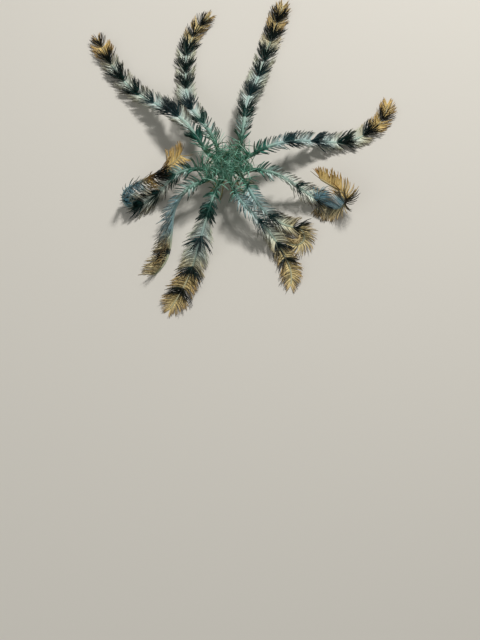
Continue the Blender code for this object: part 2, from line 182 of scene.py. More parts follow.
lamps = []
for name, place, size, power in LAMPS:
    lamp_data = bpy.data.lights.new(name, "AREA")
    lamp_data.shape = "DISK"
    lamp_data.size = size
    lamp_data.energy = power
    lamp = bpy.data.objects.new(name, lamp_data)
    lamp.location = place
    lamp.rotation_euler = (-place).to_track_quat("-Z", "Y").to_euler()
    bpy.context.scene.collection.objects.link(lamp)
    lamps.append(lamp)
sky = bpy.data.worlds.new("sky")
sky.use_nodes = True
feed(sky.node_tree.nodes["Background"], {"Color": "#e4e8e6", "Strength": SKY_STRENGTH})
bpy.context.scene.world = sky
bpy.context.scene.view_settings.view_transform = "Standard"
print("lamps:", [(lamp.name, lamp.data.energy) for lamp in lamps])

# %% [markdown]
# ## The line of each arm
# Ten arms come from five rays that fork once. An arm could be drawn as a curve by
# hand, but the solids were made from a short list of bends, and the dress must lie
# on them, so the same list and the same rule are used again. The heading turns
# evenly along each bend and is then smoothed, and the line is the running sum of
# small steps along that heading. The height rises to a crest near the body and eases
# down to the floor.


# %% The bends of each arm
RAY_HEADINGS = (132.0, 40.0, -28.0, -94.0, -155.0)
RAY_HEIGHT = 12.3 * MM
FORK_DISTANCE = 5.0 * MM
FORK_HALF_ANGLE = 28.0
STUB_LENGTH = 3.2 * MM
ARM_RADIUS = 1.15 * MM
ARM_TIP_RADIUS = 0.5 * MM
CREST_DISTANCE = 14.0 * MM
SETTLE = 0.45
SAMPLE = 0.5 * MM
SMOOTHING = 5.0 * MM

# Each arm's ray and side of the fork, 1 for the left, its crest height and the place
# where it lands in mm, its bends as lengths in mm and turns in degrees, and for one
# that folds back over itself the place, length and height of that step in mm.
Arm = namedtuple("Arm", "ray side crest landing bends fold", defaults=(None,))
ARMS = (
    Arm(0, -1, 14.0, 60, ((10, 16), (18, 4), (12, -28), (24, -4), (18, -26), (14, -20))),
    Arm(1, 1, 14.5, 62, ((6, 14), (24, 4), (12, -14), (10, 4), (48, -2))),
    Arm(1, -1, 14.5, 58, (
        (6, 16), (14, -2), (14, -10), (20, -8), (10, 22), (10, 14), (10, 26), (6, 20))),
    Arm(2, 1, 14.0, 46, (
        (10, -16), (18, -8), (18, -2), (6, 10), (7, 160), (15, 0)), fold=(49, 10, 7)),
    Arm(2, -1, 13.5, 42, ((6, -10), (8, 0), (8, 24), (12, 34), (6, 4), (18, -220))),
    Arm(3, 1, 13.5, 46, ((10, -2), (8, 26), (12, 2), (10, -16), (12, -14), (11, -30))),
    Arm(3, -1, 13.5, 50, ((10, 16), (20, 0), (14, -1), (16, -8), (11, -7))),
    Arm(4, 1, 13.5, 46, ((8, -33), (9, 18), (8, 20), (7, 24), (12, 0), (9, -20), (9, -24))),
    Arm(4, -1, 13.5, 38, (
        (8, 14), (8, 10), (8, 20), (12, -16), (9, -10), (7, -165), (26, 6), (8, 28)),
        fold=(43, 11, 9)),
    Arm(0, 1, 15.5, 70, (
        (6, -42), (16, 0), (12, 12), (16, 8), (12, -10), (14, -8), (14, -10), (10, 0))),
)
print(sum(len(arm.bends) for arm in ARMS), "bends on", len(ARMS), "arms")

# %% The rule that lays an arm along its bends
Line = namedtuple("Line", "along points headings radii")


def ease(value):
    """Rise from 0 to 1, flat at both ends: three squares less two cubes of the value."""
    held = np.clip(value, 0.0, 1.0)
    return held * held * (3.0 - 2.0 * held)


def toward(share, first, last):
    """Go from a first value to a last one as a share goes from 0 to 1."""
    return first + share * (last - first)


def level(headings):
    """Level unit vectors for headings in degrees: cosine along X, sine along Y."""
    angle = np.radians(headings)
    return np.stack((np.cos(angle), np.sin(angle), np.zeros_like(angle)), axis=-1)


def evened(values, width):
    """Running mean over a number of neighbours, with the ends held."""
    half = width // 2
    padded = np.pad(values, half, mode="edge")
    return np.convolve(padded, np.ones(2 * half + 1) / (2 * half + 1), mode="valid")


def arm_line(arm):
    """Samples along an arm: the running sum of steps along its smoothed heading.

    The height is an ease from the ray up to the crest, then an ease down to a share
    of the arm's radius, and one more ease up where the arm folds back over itself.
    """
    heading = RAY_HEADINGS[arm.ray] + arm.side * FORK_HALF_ANGLE
    start = np.array((BODY_X, BODY_Y, 0.0)) + FORK_DISTANCE * level(RAY_HEADINGS[arm.ray])
    start = start + STUB_LENGTH * level(heading)
    lengths, turns = np.array(arm.bends, float).T
    corners = np.concatenate(((0.0,), np.cumsum(lengths))) * MM
    turned = np.concatenate(((0.0,), np.cumsum(turns)))
    along = np.linspace(0.0, corners[-1], round(corners[-1] / SAMPLE) + 1)
    turn = evened(np.interp(along, corners, turned), round(SMOOTHING / SAMPLE))
    headings = heading + turn - turn[0]
    steps = level(0.5 * (headings[1:] + headings[:-1])) * np.diff(along)[:, None]
    points = start + np.concatenate((np.zeros((1, 3)), np.cumsum(steps, axis=0)))
    radii = toward(along / along[-1], ARM_RADIUS, ARM_TIP_RADIUS)
    high = toward(ease(along / CREST_DISTANCE), RAY_HEIGHT, arm.crest * MM)
    fall = ease((along - CREST_DISTANCE) / (arm.landing * MM - CREST_DISTANCE))
    points[:, 2] = toward(fall, high, SETTLE * radii)
    if arm.fold:
        fold_start, fold_length, fold_height = np.array(arm.fold) * MM
        points[:, 2] += fold_height * ease((along - fold_start) / fold_length)
    return Line(along, points, headings, radii)


lines = [arm_line(arm) for arm in ARMS]
print("arms are", [round(line.along[-1] / MM) for line in lines], "mm long")


# %% A frame of directions anywhere along a line
Place = namedtuple("Place", "points forward left up radii")


def at(line, distances):
    """Where a line is at some distances: straight lines between its samples.

    Forward is the way from half a sample before to half a sample after, left is the
    heading turned a quarter, level, and up is forward crossed with left. Before its
    first sample the line runs straight back.
    """
    def point(where):
        found = [np.interp(where, line.along, line.points[:, axis]) for axis in range(3)]
        before = np.minimum(where, 0.0)[..., None] * level(line.headings[0])
        return np.stack(found, axis=-1) + before

    headings = np.interp(distances, line.along, line.headings)
    held = np.minimum(distances, line.along[-1] - 0.5 * SAMPLE)
    forward = point(held + 0.5 * SAMPLE) - point(held - 0.5 * SAMPLE)
    forward /= np.linalg.norm(forward, axis=-1, keepdims=True)
    left = level(headings + 90.0)
    up = np.cross(forward, left)
    return Place(point(distances), forward, left, up, np.interp(distances, line.along, line.radii))


crests = [at(line, np.array([CREST_DISTANCE])).points[0, 2] for line in lines]
print("crests are", np.round(np.array(crests) / MM, 1).tolist(), "mm high")

# %% [markdown]
# ## Closed tubes on a grid
# Arms, rays, pinnules and cirri are all one kind of surface: a ring carried along a
# path, so a function of two numbers, the distance along and the angle round. A
# curve with a bevel could draw them, but a grid of points worked out at once lets
# the ring swell, lean and flatten as a formula says, and the same numbers give the
# faces' place on the unwrap. The near end is closed by one flat face inside the
# body, and the far end by a fan of triangles round a pole.


# %% Faces of a closed tube, and a piece from arrays
Layout = namedtuple("Layout", "quads fan cap places")


def ring_angles(sides):
    """Angles of the points of a ring, at even steps from 0 to short of a full turn."""
    return np.linspace(0.0, TURN, sides, endpoint=False)


def pole_faces(pole, start, sides):
    """Triangles from a pole to each side of the ring whose points begin at a number."""
    side = np.arange(sides)
    return np.stack((np.full(sides, pole), start + side, start + (side + 1) % sides), axis=-1)


def tube_layout(rings, sides):
    """Faces of a tube whose point (ring, side) has the number ring x sides + side.

    The pole comes last. Each quad runs round and then forwards, which turns it
    outwards. The places are every corner's ring and side as shares from 0 to 1,
    where the last side is followed by 1 and not by 0, so an unwrap has no jump.
    """
    ring, side = np.meshgrid(np.arange(rings - 1), np.arange(sides), indexing="ij")
    ring, side = ring.reshape(-1, 1), side.reshape(-1, 1)
    quad_ring = ring + np.array((0, 0, 1, 1))
    quad_side = side + np.array((0, 1, 1, 0))
    quads = quad_ring * sides + quad_side % sides
    last = np.arange(sides)[:, None]
    fan_side = last + np.array((0, 1, 0))
    fan = (rings - 1) * sides + fan_side % sides
    fan[:, 2] = rings * sides
    fan_ring = np.broadcast_to((rings - 1, rings - 1, rings), fan.shape)
    cap = np.arange(sides)[None, ::-1]
    corners = ((quad_ring, quad_side), (fan_ring, fan_side), (0 * cap, cap))
    places = [np.stack((ring / rings, side / sides), axis=-1) for ring, side in corners]
    return Layout(quads, fan, cap, places)


def repeated(layout, count, size):
    """Faces of many tubes with one layout, each with that many points of its own."""
    starts = (np.arange(count) * size)[:, None, None]
    return [(starts + faces).reshape(-1, faces.shape[-1]) for faces in layout[:3]]


def rings_of(place, around, wide, high):
    """Points of rings: centre + wide x cosine of the angle to the left + high x sine up."""
    cosine, sine = np.cos(around), np.sin(around)
    return (place.points[..., None, :]
            + (wide * cosine)[..., None] * place.left[..., None, :]
            + (high * sine)[..., None] * place.up[..., None, :])


def mesh_of(name, points, faces):
    """Mesh from an array of points and a list of arrays of faces."""
    mesh = bpy.data.meshes.new(name)
    mesh.from_pydata(points.tolist(), [], [face for group in faces for face in group.tolist()])
    mesh.validate()
    return mesh


def add_piece(name, mesh):
    """Object for a mesh, shaded smooth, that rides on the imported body."""
    mesh.polygons.foreach_set("use_smooth", np.ones(len(mesh.polygons), bool))
    piece = bpy.data.objects.new(name, mesh)
    bpy.context.scene.collection.objects.link(piece)
    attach(piece, "root")
    return piece


print("eight rings of six sides:", sum(map(len, tube_layout(8, 6)[:3])), "faces")

# %% [markdown]
# ## The arms' plates
# An arm is a chain of short plates. Each is a wedge, thick on the side that carries
# a pinnule, so the joints between them lean left and right in turn. That could be
# carved plate by plate. Here it is one wave along the arm whose phase is pushed
# back and forth on the two sides, which leans every second joint the other way, and
# the surface sinks a little where the phase is whole.

# %% Arm surfaces
PLATE_LENGTH = 0.46 * MM
PLATE_LEAN = 0.24
JOINT_DEPTH = 0.075
RINGS_PER_PLATE = 3
ARM_SIDES = 12
ARM_INSET = 1.4 * MM
ARM_START_SHARE = 0.94


def at_joints(phase, power):
    """1 where a phase is whole and 0 half way between: a raised cosine to a power."""
    return (0.5 + 0.5 * np.cos(TURN * phase)) ** power


def plate_phase(distances, around):
    """Number of plates passed: distance over plate length, pushed by a lean that
    changes sign from joint to joint and from the left side to the right."""
    plates = distances / PLATE_LENGTH
    return plates + PLATE_LEAN * np.cos(np.pi * plates) * np.cos(around)


def arm_points(line):
    """Rings along an arm. The radius is the solid's, less a dip at every joint."""
    total = line.along[-1]
    count = round((total + ARM_INSET) / PLATE_LENGTH * RINGS_PER_PLATE)
    distances = np.linspace(-ARM_INSET, total - 0.5 * ARM_TIP_RADIUS, count)
    place = at(line, distances)
    around = ring_angles(ARM_SIDES)
    joint = at_joints(plate_phase(distances[:, None], around), 2)
    start = toward(ease(1.0 + distances / ARM_INSET), ARM_START_SHARE, 1.0)
    radius = place.radii[:, None] * start[:, None] * (1.0 - JOINT_DEPTH * joint)
    rings = rings_of(place, around, radius, radius)
    rings[..., 2] = np.maximum(rings[..., 2], 0.0)
    pole = place.points[-1] + 0.5 * ARM_TIP_RADIUS * place.forward[-1]
    return np.concatenate((rings.reshape(-1, 3), pole[None])), tube_layout(count, ARM_SIDES)


arm_meshes = []
for index, line in enumerate(lines):
    points, layout = arm_points(line)
    arm_meshes.append(mesh_of(f"arm_{index + 1}", points, layout[:3]))
print("arm surfaces:", sum(len(mesh.polygons) for mesh in arm_meshes), "faces")

# %% [markdown]
# ## The body: disc, rays and forks
# The disc is a soft pouch with five lobes between the rays, the mouth's pit in its
# middle, shallow food grooves that run from the mouth to the arms, and a little
# chimney, the anal tube. It could be sculpted, but a sum of simple bumps on a dome
# says the same. Where disc, rays and the roots of the arms meet there is no seam on
# the animal, so the closed surfaces are laid through one another and remeshed as
# one, and a short smoothing rounds the creases.

# %% The disc
DISC_RADIUS = 6.0 * MM
DISC_UNDERSIDE = 14.2 * MM
DISC_HEIGHT = 3.6 * MM
DISC_KEEL = 2.4 * MM
DISC_LOBE = 0.5 * MM
MOUTH_RADIUS = 1.3 * MM
MOUTH_DEPTH = 1.2 * MM
GROOVE_DEPTH = 0.35 * MM
GROOVE_WIDTH = 0.35 * MM
TUBE_OFFSET = 3.2 * MM
TUBE_HEADING = 86.0


def disc_points(rings=56, sides=120):
    """Dome over a shallow keel, on a grid of polar angle and heading.

    Outwards: the radius by the sine of the polar angle, times one plus a lobe that
    is a cosine of five times the heading. Upwards: the height by its cosine, less a
    bell for the mouth and a bell across each groove that fades towards the rim.
    """
    polar = np.linspace(0.0, np.pi, rings + 1)[1:-1, None]
    heading = ring_angles(sides)[None, :]
    lobe = 1.0 + DISC_LOBE / DISC_RADIUS * np.cos(5.0 * (heading - np.radians(RAY_HEADINGS[1])))
    out = DISC_RADIUS * np.sin(polar) * lobe
    ray = np.radians(np.array(RAY_HEADINGS))[:, None, None]
    apart = np.abs(np.angle(np.exp(1j * (heading - ray)))).min(axis=0)
    groove = GROOVE_DEPTH * np.exp(-((apart * out / GROOVE_WIDTH) ** 2)) * ease(out / MOUTH_RADIUS)
    pit = MOUTH_DEPTH * np.exp(-((out / MOUTH_RADIUS) ** 2))
    cosine = np.cos(polar) * np.ones_like(heading)
    above = np.where(cosine > 0.0, DISC_HEIGHT * cosine - pit - groove * cosine, DISC_KEEL * cosine)
    grid = np.stack((BODY_X + out * np.cos(heading), BODY_Y + out * np.sin(heading),
                     DISC_UNDERSIDE + above), axis=-1)
    top = (BODY_X, BODY_Y, DISC_UNDERSIDE + DISC_HEIGHT - MOUTH_DEPTH)
    bottom = (BODY_X, BODY_Y, DISC_UNDERSIDE - DISC_KEEL)
    return np.concatenate((grid.reshape(-1, 3), (top, bottom))), rings - 1, sides


def disc_mesh():
    """The disc's grid as quads, closed by a fan at each pole."""
    points, rings, sides = disc_points()
    quads = tube_layout(rings, sides).quads[:, ::-1]
    top = pole_faces(rings * sides, 0, sides)
    bottom = pole_faces(rings * sides + 1, (rings - 1) * sides, sides)[:, (0, 2, 1)]
    return mesh_of("disc", points, (quads, top, bottom))


body_meshes = [disc_mesh()]
print("disc:", len(body_meshes[0].polygons), "faces")

# %% Rays, and the stubs that the arms grow from
RAY_RADIUS = 1.4 * MM
RAY_OVERLAP = 0.3 * RAY_RADIUS
RAY_PLATES = 3
RAY_RINGS = 24
RAY_JOINT_DEPTH = 0.06
STUB_END = 0.2
STUB_TAPER = 0.35
# A path closer to upright than this has no level side direction of its own.
STEEP = 0.01


def straight_tube(name, path, radii, sides=20):
    """Rings of given radii along a straight path, and a pole half a radius past it."""
    path = np.array(path, float)
    forward = (path[-1] - path[0]) / np.linalg.norm(path[-1] - path[0])
    aside = np.cross((0.0, 0.0, 1.0), forward)
    length = np.linalg.norm(aside)
    left = np.broadcast_to(aside / length if length > STEEP else (0.0, 1.0, 0.0), path.shape)
    place = Place(path, None, left, np.cross(forward, left), radii)
    girth = radii[:, None] * np.ones(sides)
    rings = rings_of(place, ring_angles(sides), girth, girth)
    pole = path[-1] + 0.5 * radii[-1] * forward
    points = np.concatenate((rings.reshape(-1, 3), pole[None]))
    return mesh_of(name, points, tube_layout(len(path), sides)[:3])


centre = np.array((BODY_X, BODY_Y, RAY_HEIGHT))
share = np.linspace(0.0, 1.0, RAY_RINGS)[:, None]
for number, heading in enumerate(RAY_HEADINGS):
    swell = 1.0 - RAY_JOINT_DEPTH * at_joints(RAY_PLATES * share[:, 0], 2)
    path = centre + share * (FORK_DISTANCE + RAY_OVERLAP) * level(heading)
    body_meshes.append(straight_tube(f"ray_{number}", path, RAY_RADIUS * swell))
    for side in (-1, 1):
        way = level(heading + side * FORK_HALF_ANGLE)
        path = centre + FORK_DISTANCE * level(heading) + share * STUB_LENGTH * way
        taper = 1.0 - STUB_TAPER * ease(1.0 + (share[:, 0] - 1.0) / STUB_END)
        body_meshes.append(straight_tube(f"stub_{number}_{side}", path, ARM_RADIUS * taper))
print("body surfaces:", len(body_meshes))

# %% The anal tube, a chimney with a wider rim
TUBE_FOOT_RADIUS = 1.25 * MM
TUBE_NECK_RADIUS = 0.7 * MM
TUBE_RIM = 0.12 * MM
TUBE_RIM_SHARE = 0.2
TUBE_SUNK = 1.0 * MM
TUBE_RISE = (0.0, 0.3 * MM, 3.6 * MM)
TUBE_RINGS = 16

tube_foot = np.array((BODY_X, BODY_Y, DISC_UNDERSIDE + TUBE_SUNK))
tube_foot += TUBE_OFFSET * level(TUBE_HEADING)
tube_share = np.linspace(0.0, 1.0, TUBE_RINGS)
tube_rim = TUBE_RIM * ease(1.0 + (tube_share - 1.0) / TUBE_RIM_SHARE)
tube_radii = toward(ease(tube_share), TUBE_FOOT_RADIUS, TUBE_NECK_RADIUS) + tube_rim
tube_path = tube_foot + tube_share[:, None] * np.array(TUBE_RISE)
body_meshes.append(straight_tube("anal_tube", tube_path, tube_radii))
print("anal tube:", len(body_meshes[-1].polygons), "faces")

# %% [markdown]
# ## One skin
# The pieces of the body become one surface in two moves. A voxel remesh turns
# everything that overlaps round the body into one closed shell. The arms keep their
# own fine grid, because voxels would wipe out their plates, and a Boolean union
# fuses them to that shell, where the joint falls on a natural joint between plates.


# %% Join and remesh the body
VOXEL = 0.2 * MM


def points_of(mesh):
    """Coordinates of a mesh's points, one row each."""
    points = np.empty(3 * len(mesh.vertices))
    mesh.vertices.foreach_get("co", points)
    return points.reshape(-1, 3)


def joined(name, meshes):
    """One object from several meshes, in place."""
    points, faces, start = [], [], 0
    for mesh in meshes:
        points.append(points_of(mesh))
        faces.extend([[start + corner for corner in face.vertices] for face in mesh.polygons])
        start += len(mesh.vertices)
    mesh = bpy.data.meshes.new(name)
    mesh.from_pydata(np.concatenate(points).tolist(), [], faces)
    item = bpy.data.objects.new(name, mesh)
    bpy.context.scene.collection.objects.link(item)
    return item


def apply_modifiers(item):
    """Put the evaluated mesh in the place of the object's own."""
    evaluated = item.evaluated_get(bpy.context.evaluated_depsgraph_get())
    made = bpy.data.meshes.new_from_object(evaluated)
    item.modifiers.clear()
    item.data = made


body = joined("body", body_meshes)
remesh = body.modifiers.new("remesh", "REMESH")
remesh.mode = "VOXEL"
remesh.voxel_size = VOXEL
smooth = body.modifiers.new("round", "SMOOTH")
smooth.factor = 0.5
smooth.iterations = 4
apply_modifiers(body)
print("remeshed body:", len(body.data.polygons), "faces")

# %% Unite it with the arms
tubes = bpy.data.collections.new("arm_tubes")
bpy.context.scene.collection.children.link(tubes)
for mesh in arm_meshes:
    tubes.objects.link(bpy.data.objects.new(mesh.name, mesh))
union = body.modifiers.new("unite", "BOOLEAN")
union.operation = "UNION"
union.operand_type = "COLLECTION"
union.collection = tubes
union.solver = "MANIFOLD"
apply_modifiers(body)
for item in list(tubes.objects):
    bpy.data.objects.remove(item)
bpy.data.collections.remove(tubes)
skin_mesh = body.data
skin_mesh.name = "skin"
bpy.data.objects.remove(body)
print("skin:", len(skin_mesh.vertices), "points,", len(skin_mesh.polygons), "faces")

# %% [markdown]
# ## Markings
# The arms are banded, dark and pale in turn, about every ten millimetres. Near the
# body both are green, half way out they are black against a bluish white, and at the
# ends black against orange yellow. A pinnule has the colour of the plate that it
# grows from, and on the inner arms it ends in a dark tip. Some stretches are blue.
# All this could be painted as a picture. Instead each arm has the distances of its
# bands and stretches, and every point of skin and coat is given three numbers: how
# dark, how far out along the arm and how blue. A pinnule's points have four more: how
# inky its tip is, its tone, how far along it they are and how near its painted glint,
# a pale highlight line painted along one edge.
# The finishes read those numbers, so skin and coat match at every root.

# %% The markings of each arm
Marking = namedtuple("Marking", "dark warm ink blue")
# Where each dark band starts and ends as the coat shows it, the stretch over which
# the pale bands turn warm and how warm, the distance out to which pinnules have dark
# tips, and the stretch that is blue and how blue. Places are in mm along the arm.
MARKINGS = (
    Marking(((19, 24.5), (31, 38.5), (48.5, 56.5), (59.5, 67.5), (70.5, 79.5), (82.5, 88),
             (90.5, 96)), (72, 81, 0.75), 30, (24, 48, 0.35)),
    Marking(((4, 12), (22.5, 30), (38.5, 46.5), (54.8, 61.8), (65.2, 73.8), (78.2, 86.4),
             (90.2, 97)), (66, 87, 0.85), 34, (25, 58, 0.3)),
    Marking(((8, 16), (24.5, 32), (39, 46), (53, 62), (67.5, 75), (80.5, 86)),
            (60, 76, 1.0), 46, (16, 51, 0.45)),
    Marking(((8, 12), (29, 33), (39, 45), (47, 53), (56, 61)),
            (36, 44, 1.0), 36, (36, 57, 1.0)),
    Marking(((8, 12), (26.5, 30.5), (40, 45.5)), (28, 42, 0.62), 32, (6, 28, 0.35)),
    Marking(((8, 12), (27, 31.5), (40, 45.5), (49, 53.5)), (31, 49, 0.72), 32, (6, 32, 0.35)),
    Marking(((8, 13), (16.5, 25), (32.5, 38), (47, 53.5), (59.5, 66)),
            (36, 55, 0.8), 20, (24, 42, 0.3)),
    Marking(((8, 12), (47, 53)), (33, 46, 0.5), 44, (18, 40, 0.75)),
    Marking(((9, 14), (19.5, 24), (29, 34), (39, 46.5), (68, 77)),
            (36, 60, 1.0), 40, (41, 64, 1.0)),
    Marking(((9.5, 17.5), (31, 41.5), (49, 53.5), (59.5, 67), (72, 80), (84.5, 91.5),
             (96.6, 101.8)), (80, 88, 1.0), 76, (26, 54, 0.35)),
)
print(sum(len(marking.dark) for marking in MARKINGS), "dark bands on", len(MARKINGS), "arms")

# %% Dark, zone and blue anywhere along an arm
BAND_EDGE = 0.5 * MM
BAND_START = 1.4 * MM
BAND_REACH = 4.2 * MM
# The reach grows by these shares between these places, as shares of the inner zone.
REACH_SHARES = (0.5, 1.0)
REACH_PLACES = (0.5, 1.2)
BLUE_EDGE = 5.0 * MM
INNER_ZONE = 30.0 * MM


def dark_spans(arm_index):
    """Starts and ends of the dark plates, one row per band. The tips of a band's last
    pinnules lie ahead of its plates, so the plates end short by that reach, and
    those of the band before hide the first plates, so they start early. The reach is
    half as much near the body, where pinnules are short and few."""
    spans = np.array(MARKINGS[arm_index].dark) * MM
    reach = BAND_REACH * np.interp(spans[:, 0] / INNER_ZONE, REACH_PLACES, REACH_SHARES)
    return spans - np.stack((0.0 * reach + BAND_START, reach), axis=-1)


def darkness(arm_index, distances):
    """1 on dark plates and 0 between: an ease over each span's two edges, the
    greatest of all spans."""
    starts, ends = dark_spans(arm_index).T
    inside = np.minimum(distances[..., None] - starts, ends - distances[..., None]).max(axis=-1)
    return ease(0.5 + inside / BAND_EDGE)


def within(distances, start, end, edge):
    """1 inside a stretch, given in mm, and 0 outside it, eased over an edge inside
    both of its ends."""
    return ease((distances - start * MM) / edge) * ease((end * MM - distances) / edge)


def zone(arm_index, distances):
    """0 at the body, a half along the middle and up to 1 at the end: half an ease over
    the inner zone, and half an ease over the stretch that turns warm, by its amount."""
    start, full, amount = MARKINGS[arm_index].warm
    turned = ease((distances / MM - start) / (full - start))
    return 0.5 * ease(distances / INNER_ZONE) + 0.5 * amount * turned


def blueness(arm_index, distances):
    """How blue the arm is: its amount inside the blue stretch, eased at both ends."""
    start, end, amount = MARKINGS[arm_index].blue
    return amount * within(distances, start, end, BLUE_EDGE)


def set_number(mesh, name, values):
    """Store one number for each point of a mesh."""
    numbers = mesh.attributes.new(name, "FLOAT", "POINT")
    numbers.data.foreach_set("value", values.astype(np.float32).ravel())


print("the first arm is dark over", round(darkness(0, lines[0].along).mean(), 2), "of its length")

# %% [markdown]
# ## The unwrap
# When the model is exported its finishes are baked, so every face needs a place on a
# flat map. The arms are unwrapped as ten strips, along in one direction and round in
# the other, cut open underneath, and the body lies in one more strip as it is seen
# from above and from below. A pinnule is a small patch on the strip at its own root,
# so it takes its colours from the right place.

# %% Places on the unwrap
STRIPS = 11
STRIP_LENGTH = 110.0 * MM
STRIP_START = 0.03
STRIP_SHARE = 0.95
STRIP_MARGIN = 0.1
PATCH = 0.003


def strip_place(arm_index, distances, turned):
    """Place in an arm's strip: along it by the distance, across it by the angle from
    straight down, as a share of a full turn."""
    across = toward(turned / TURN, STRIP_MARGIN, 1.0 - STRIP_MARGIN)
    return STRIP_START + STRIP_SHARE * distances / STRIP_LENGTH, (arm_index + across) / STRIPS


def nearest_on_arms(points, chunk=4000):
    """For every point its arm, the distance along it, the angle round it and how far
    off its line it is, from the nearest sample, corrected by the part of the way
    that lies along the line. Squared distances come from one matrix product."""
    owners = np.concatenate([np.full(len(line.along), index) for index, line in enumerate(lines)])
    samples = np.concatenate([line.points for line in lines])
    along = np.concatenate([line.along for line in lines])
    found = np.concatenate([
        ((samples ** 2).sum(axis=1) - 2.0 * points[start:start + chunk] @ samples.T).argmin(axis=1)
        for start in range(0, len(points), chunk)
    ])
    places = [at(line, line.along) for line in lines]
    forward, left, up = (np.concatenate([getattr(place, name) for place in places])[found]
                         for name in ("forward", "left", "up"))
    off = points - samples[found]
    distances = along[found] + (off * forward).sum(axis=1)
    across, above = (off * left).sum(axis=1), (off * up).sum(axis=1)
    return owners[found], distances, np.arctan2(above, across), np.hypot(across, above)


# A point belongs to the body if it lies behind an arm's start or far off its line.
BODY_BEFORE = -0.4 * MM
BODY_BEYOND = 1.6 * ARM_RADIUS

skin_points = points_of(skin_mesh)
owner, along, around, off = nearest_on_arms(skin_points)
on_body = (along < BODY_BEFORE) | (off > BODY_BEYOND)
print("skin points on the body:", int(on_body.sum()), "of", len(on_body))

# %% Numbers for the skin's finish
for name, number in (("dark", darkness), ("zone", zone), ("blue", blueness)):
    values = np.zeros(len(owner))
    for index in range(len(lines)):
        mine = (owner == index) & ~on_body
        values[mine] = number(index, along[mine])
    set_number(skin_mesh, name, values)
    print(name, "is", round(values.mean(), 3), "on the mean point of skin")
set_number(skin_mesh, "disc", on_body.astype(float))
set_number(skin_mesh, "plate", np.where(on_body, 0.5, plate_phase(along, around)))

# %% The skin's own unwrap
BODY_SCALE = 3.2
BODY_MIDDLES = (0.1, 0.3)

starts = np.empty(len(skin_mesh.polygons), int)
skin_mesh.polygons.foreach_get("loop_start", starts)
corner = np.empty(len(skin_mesh.loops), int)
skin_mesh.loops.foreach_get("vertex_index", corner)
counts = np.diff(np.append(starts, len(corner)))
face_of = np.repeat(np.arange(len(starts)), counts)
first = corner[starts][face_of]
turned = np.mod(around[corner] + 0.25 * TURN, TURN)
turned += TURN * (turned < np.maximum.reduceat(turned, starts)[face_of] - 0.5 * TURN)
u, v = strip_place(owner[first], along[corner], turned)
mixed = (owner[corner] != owner[first]) | (on_body[corner] != on_body[first])
torn = np.logical_or.reduceat(mixed, starts)[face_of]
first_corner = starts[face_of]
u, v = np.where(torn, u[first_corner], u), np.where(torn, v[first_corner], v)
from_above = (skin_points[corner, 2] > RAY_HEIGHT)[first_corner]
body_u = np.where(from_above, *BODY_MIDDLES) + (skin_points[corner, 0] - BODY_X) * BODY_SCALE
body_v = (STRIPS - 0.5) / STRIPS + (skin_points[corner, 1] - BODY_Y) * BODY_SCALE
whole = on_body[first] & ~torn
u, v = np.where(whole, body_u, u), np.where(whole, body_v, v)
skin_map = skin_mesh.uv_layers.new(name="OFBake")
skin_map.data.foreach_set("uv", np.stack((u, v), axis=-1).astype(np.float32).ravel())
skin = add_piece("skin", skin_mesh)
print("unwrap runs over", np.round((u.min(), u.max(), v.min(), v.max()), 3))

# %% [markdown]
# ## The pinnules
# A pinnule is a side branch of small plates, a slender blade that is widest a third
# of the way out and ends in a point. It leaves the arm slanting forwards and upwards
# and curves towards the arm's end. Particle hair would draw them quickly but is lost
# in an export, so each one is a closed blade of a few dozen faces, and all those of
# an arm are worked out together as one array: pinnule by station by side.
# Close to the body they are sparse and stout, and over the disc they are long and
# bend in like a basket. Further out they spread as an even fan over the arm, high and
# leaning forwards in the dark bands, low in the pale ones, and at the arm's end they
# are short and point forwards. Where an arm is twisted or folded, they are swept over
# to one hand or laid along one heading.

# %% Sizes of a pinnule
PINNULE_STEP = 0.18 * MM
PINNULE_WIDTH = 0.38 * MM
PINNULE_THICKNESS = 0.6
TIP_WIDTH_SHARE = 0.55
INNER_STOUT = 0.35
ORAL_SLIM = 0.62
STATIONS = 8
BLADE_SIDES = 6
# Where the painted glint, a pale highlight line painted along one edge of each blade, lies round
# it, turned one way on the left and the other way on the right, in degrees.
PAINTED_GLINT_ANGLE = 60.0
FLOOR_ROOM = 0.12 * MM
SEED = 7
# The stations stand closer to one another towards the tip.
CROWDING = 1.2
out = 1.0 - (1.0 - np.linspace(0.0, 1.0, STATIONS + 1)) ** CROWDING
halfway = 0.5 * (out[1:] + out[:-1])
print(STATIONS * BLADE_SIDES + 1, "points to a pinnule")

# %% How many there are, and where
FIRST_ROOT = -2.8 * MM
ROOT_SCATTER = 0.2
INNER_SHARE = 0.46
OPENING = 14.0 * MM
DARK_MORE = 0.9
MORE_FROM = 12.0 * MM
CROWN_COUNT = 44
CROWN_FIRST = -6.5 * MM
CROWN_LAST = 5.0 * MM
# Each arm's pinnules on its outer course, by length in mm and slant in degrees, and
# how far out in mm the sparse inner course ends.
Habit = namedtuple("Habit", "length slant inner_ends")
HABITS = (
    Habit(7.7, 68, 16), Habit(8.0, 70, 18), Habit(7.6, 68, 22), Habit(9.0, 70, 24),
    Habit(8.4, 68, 18), Habit(8.2, 68, 18), Habit(9.4, 74, 18), Habit(10.4, 68, 22),
    Habit(9.4, 68, 20), Habit(8.2, 70, 16),
)
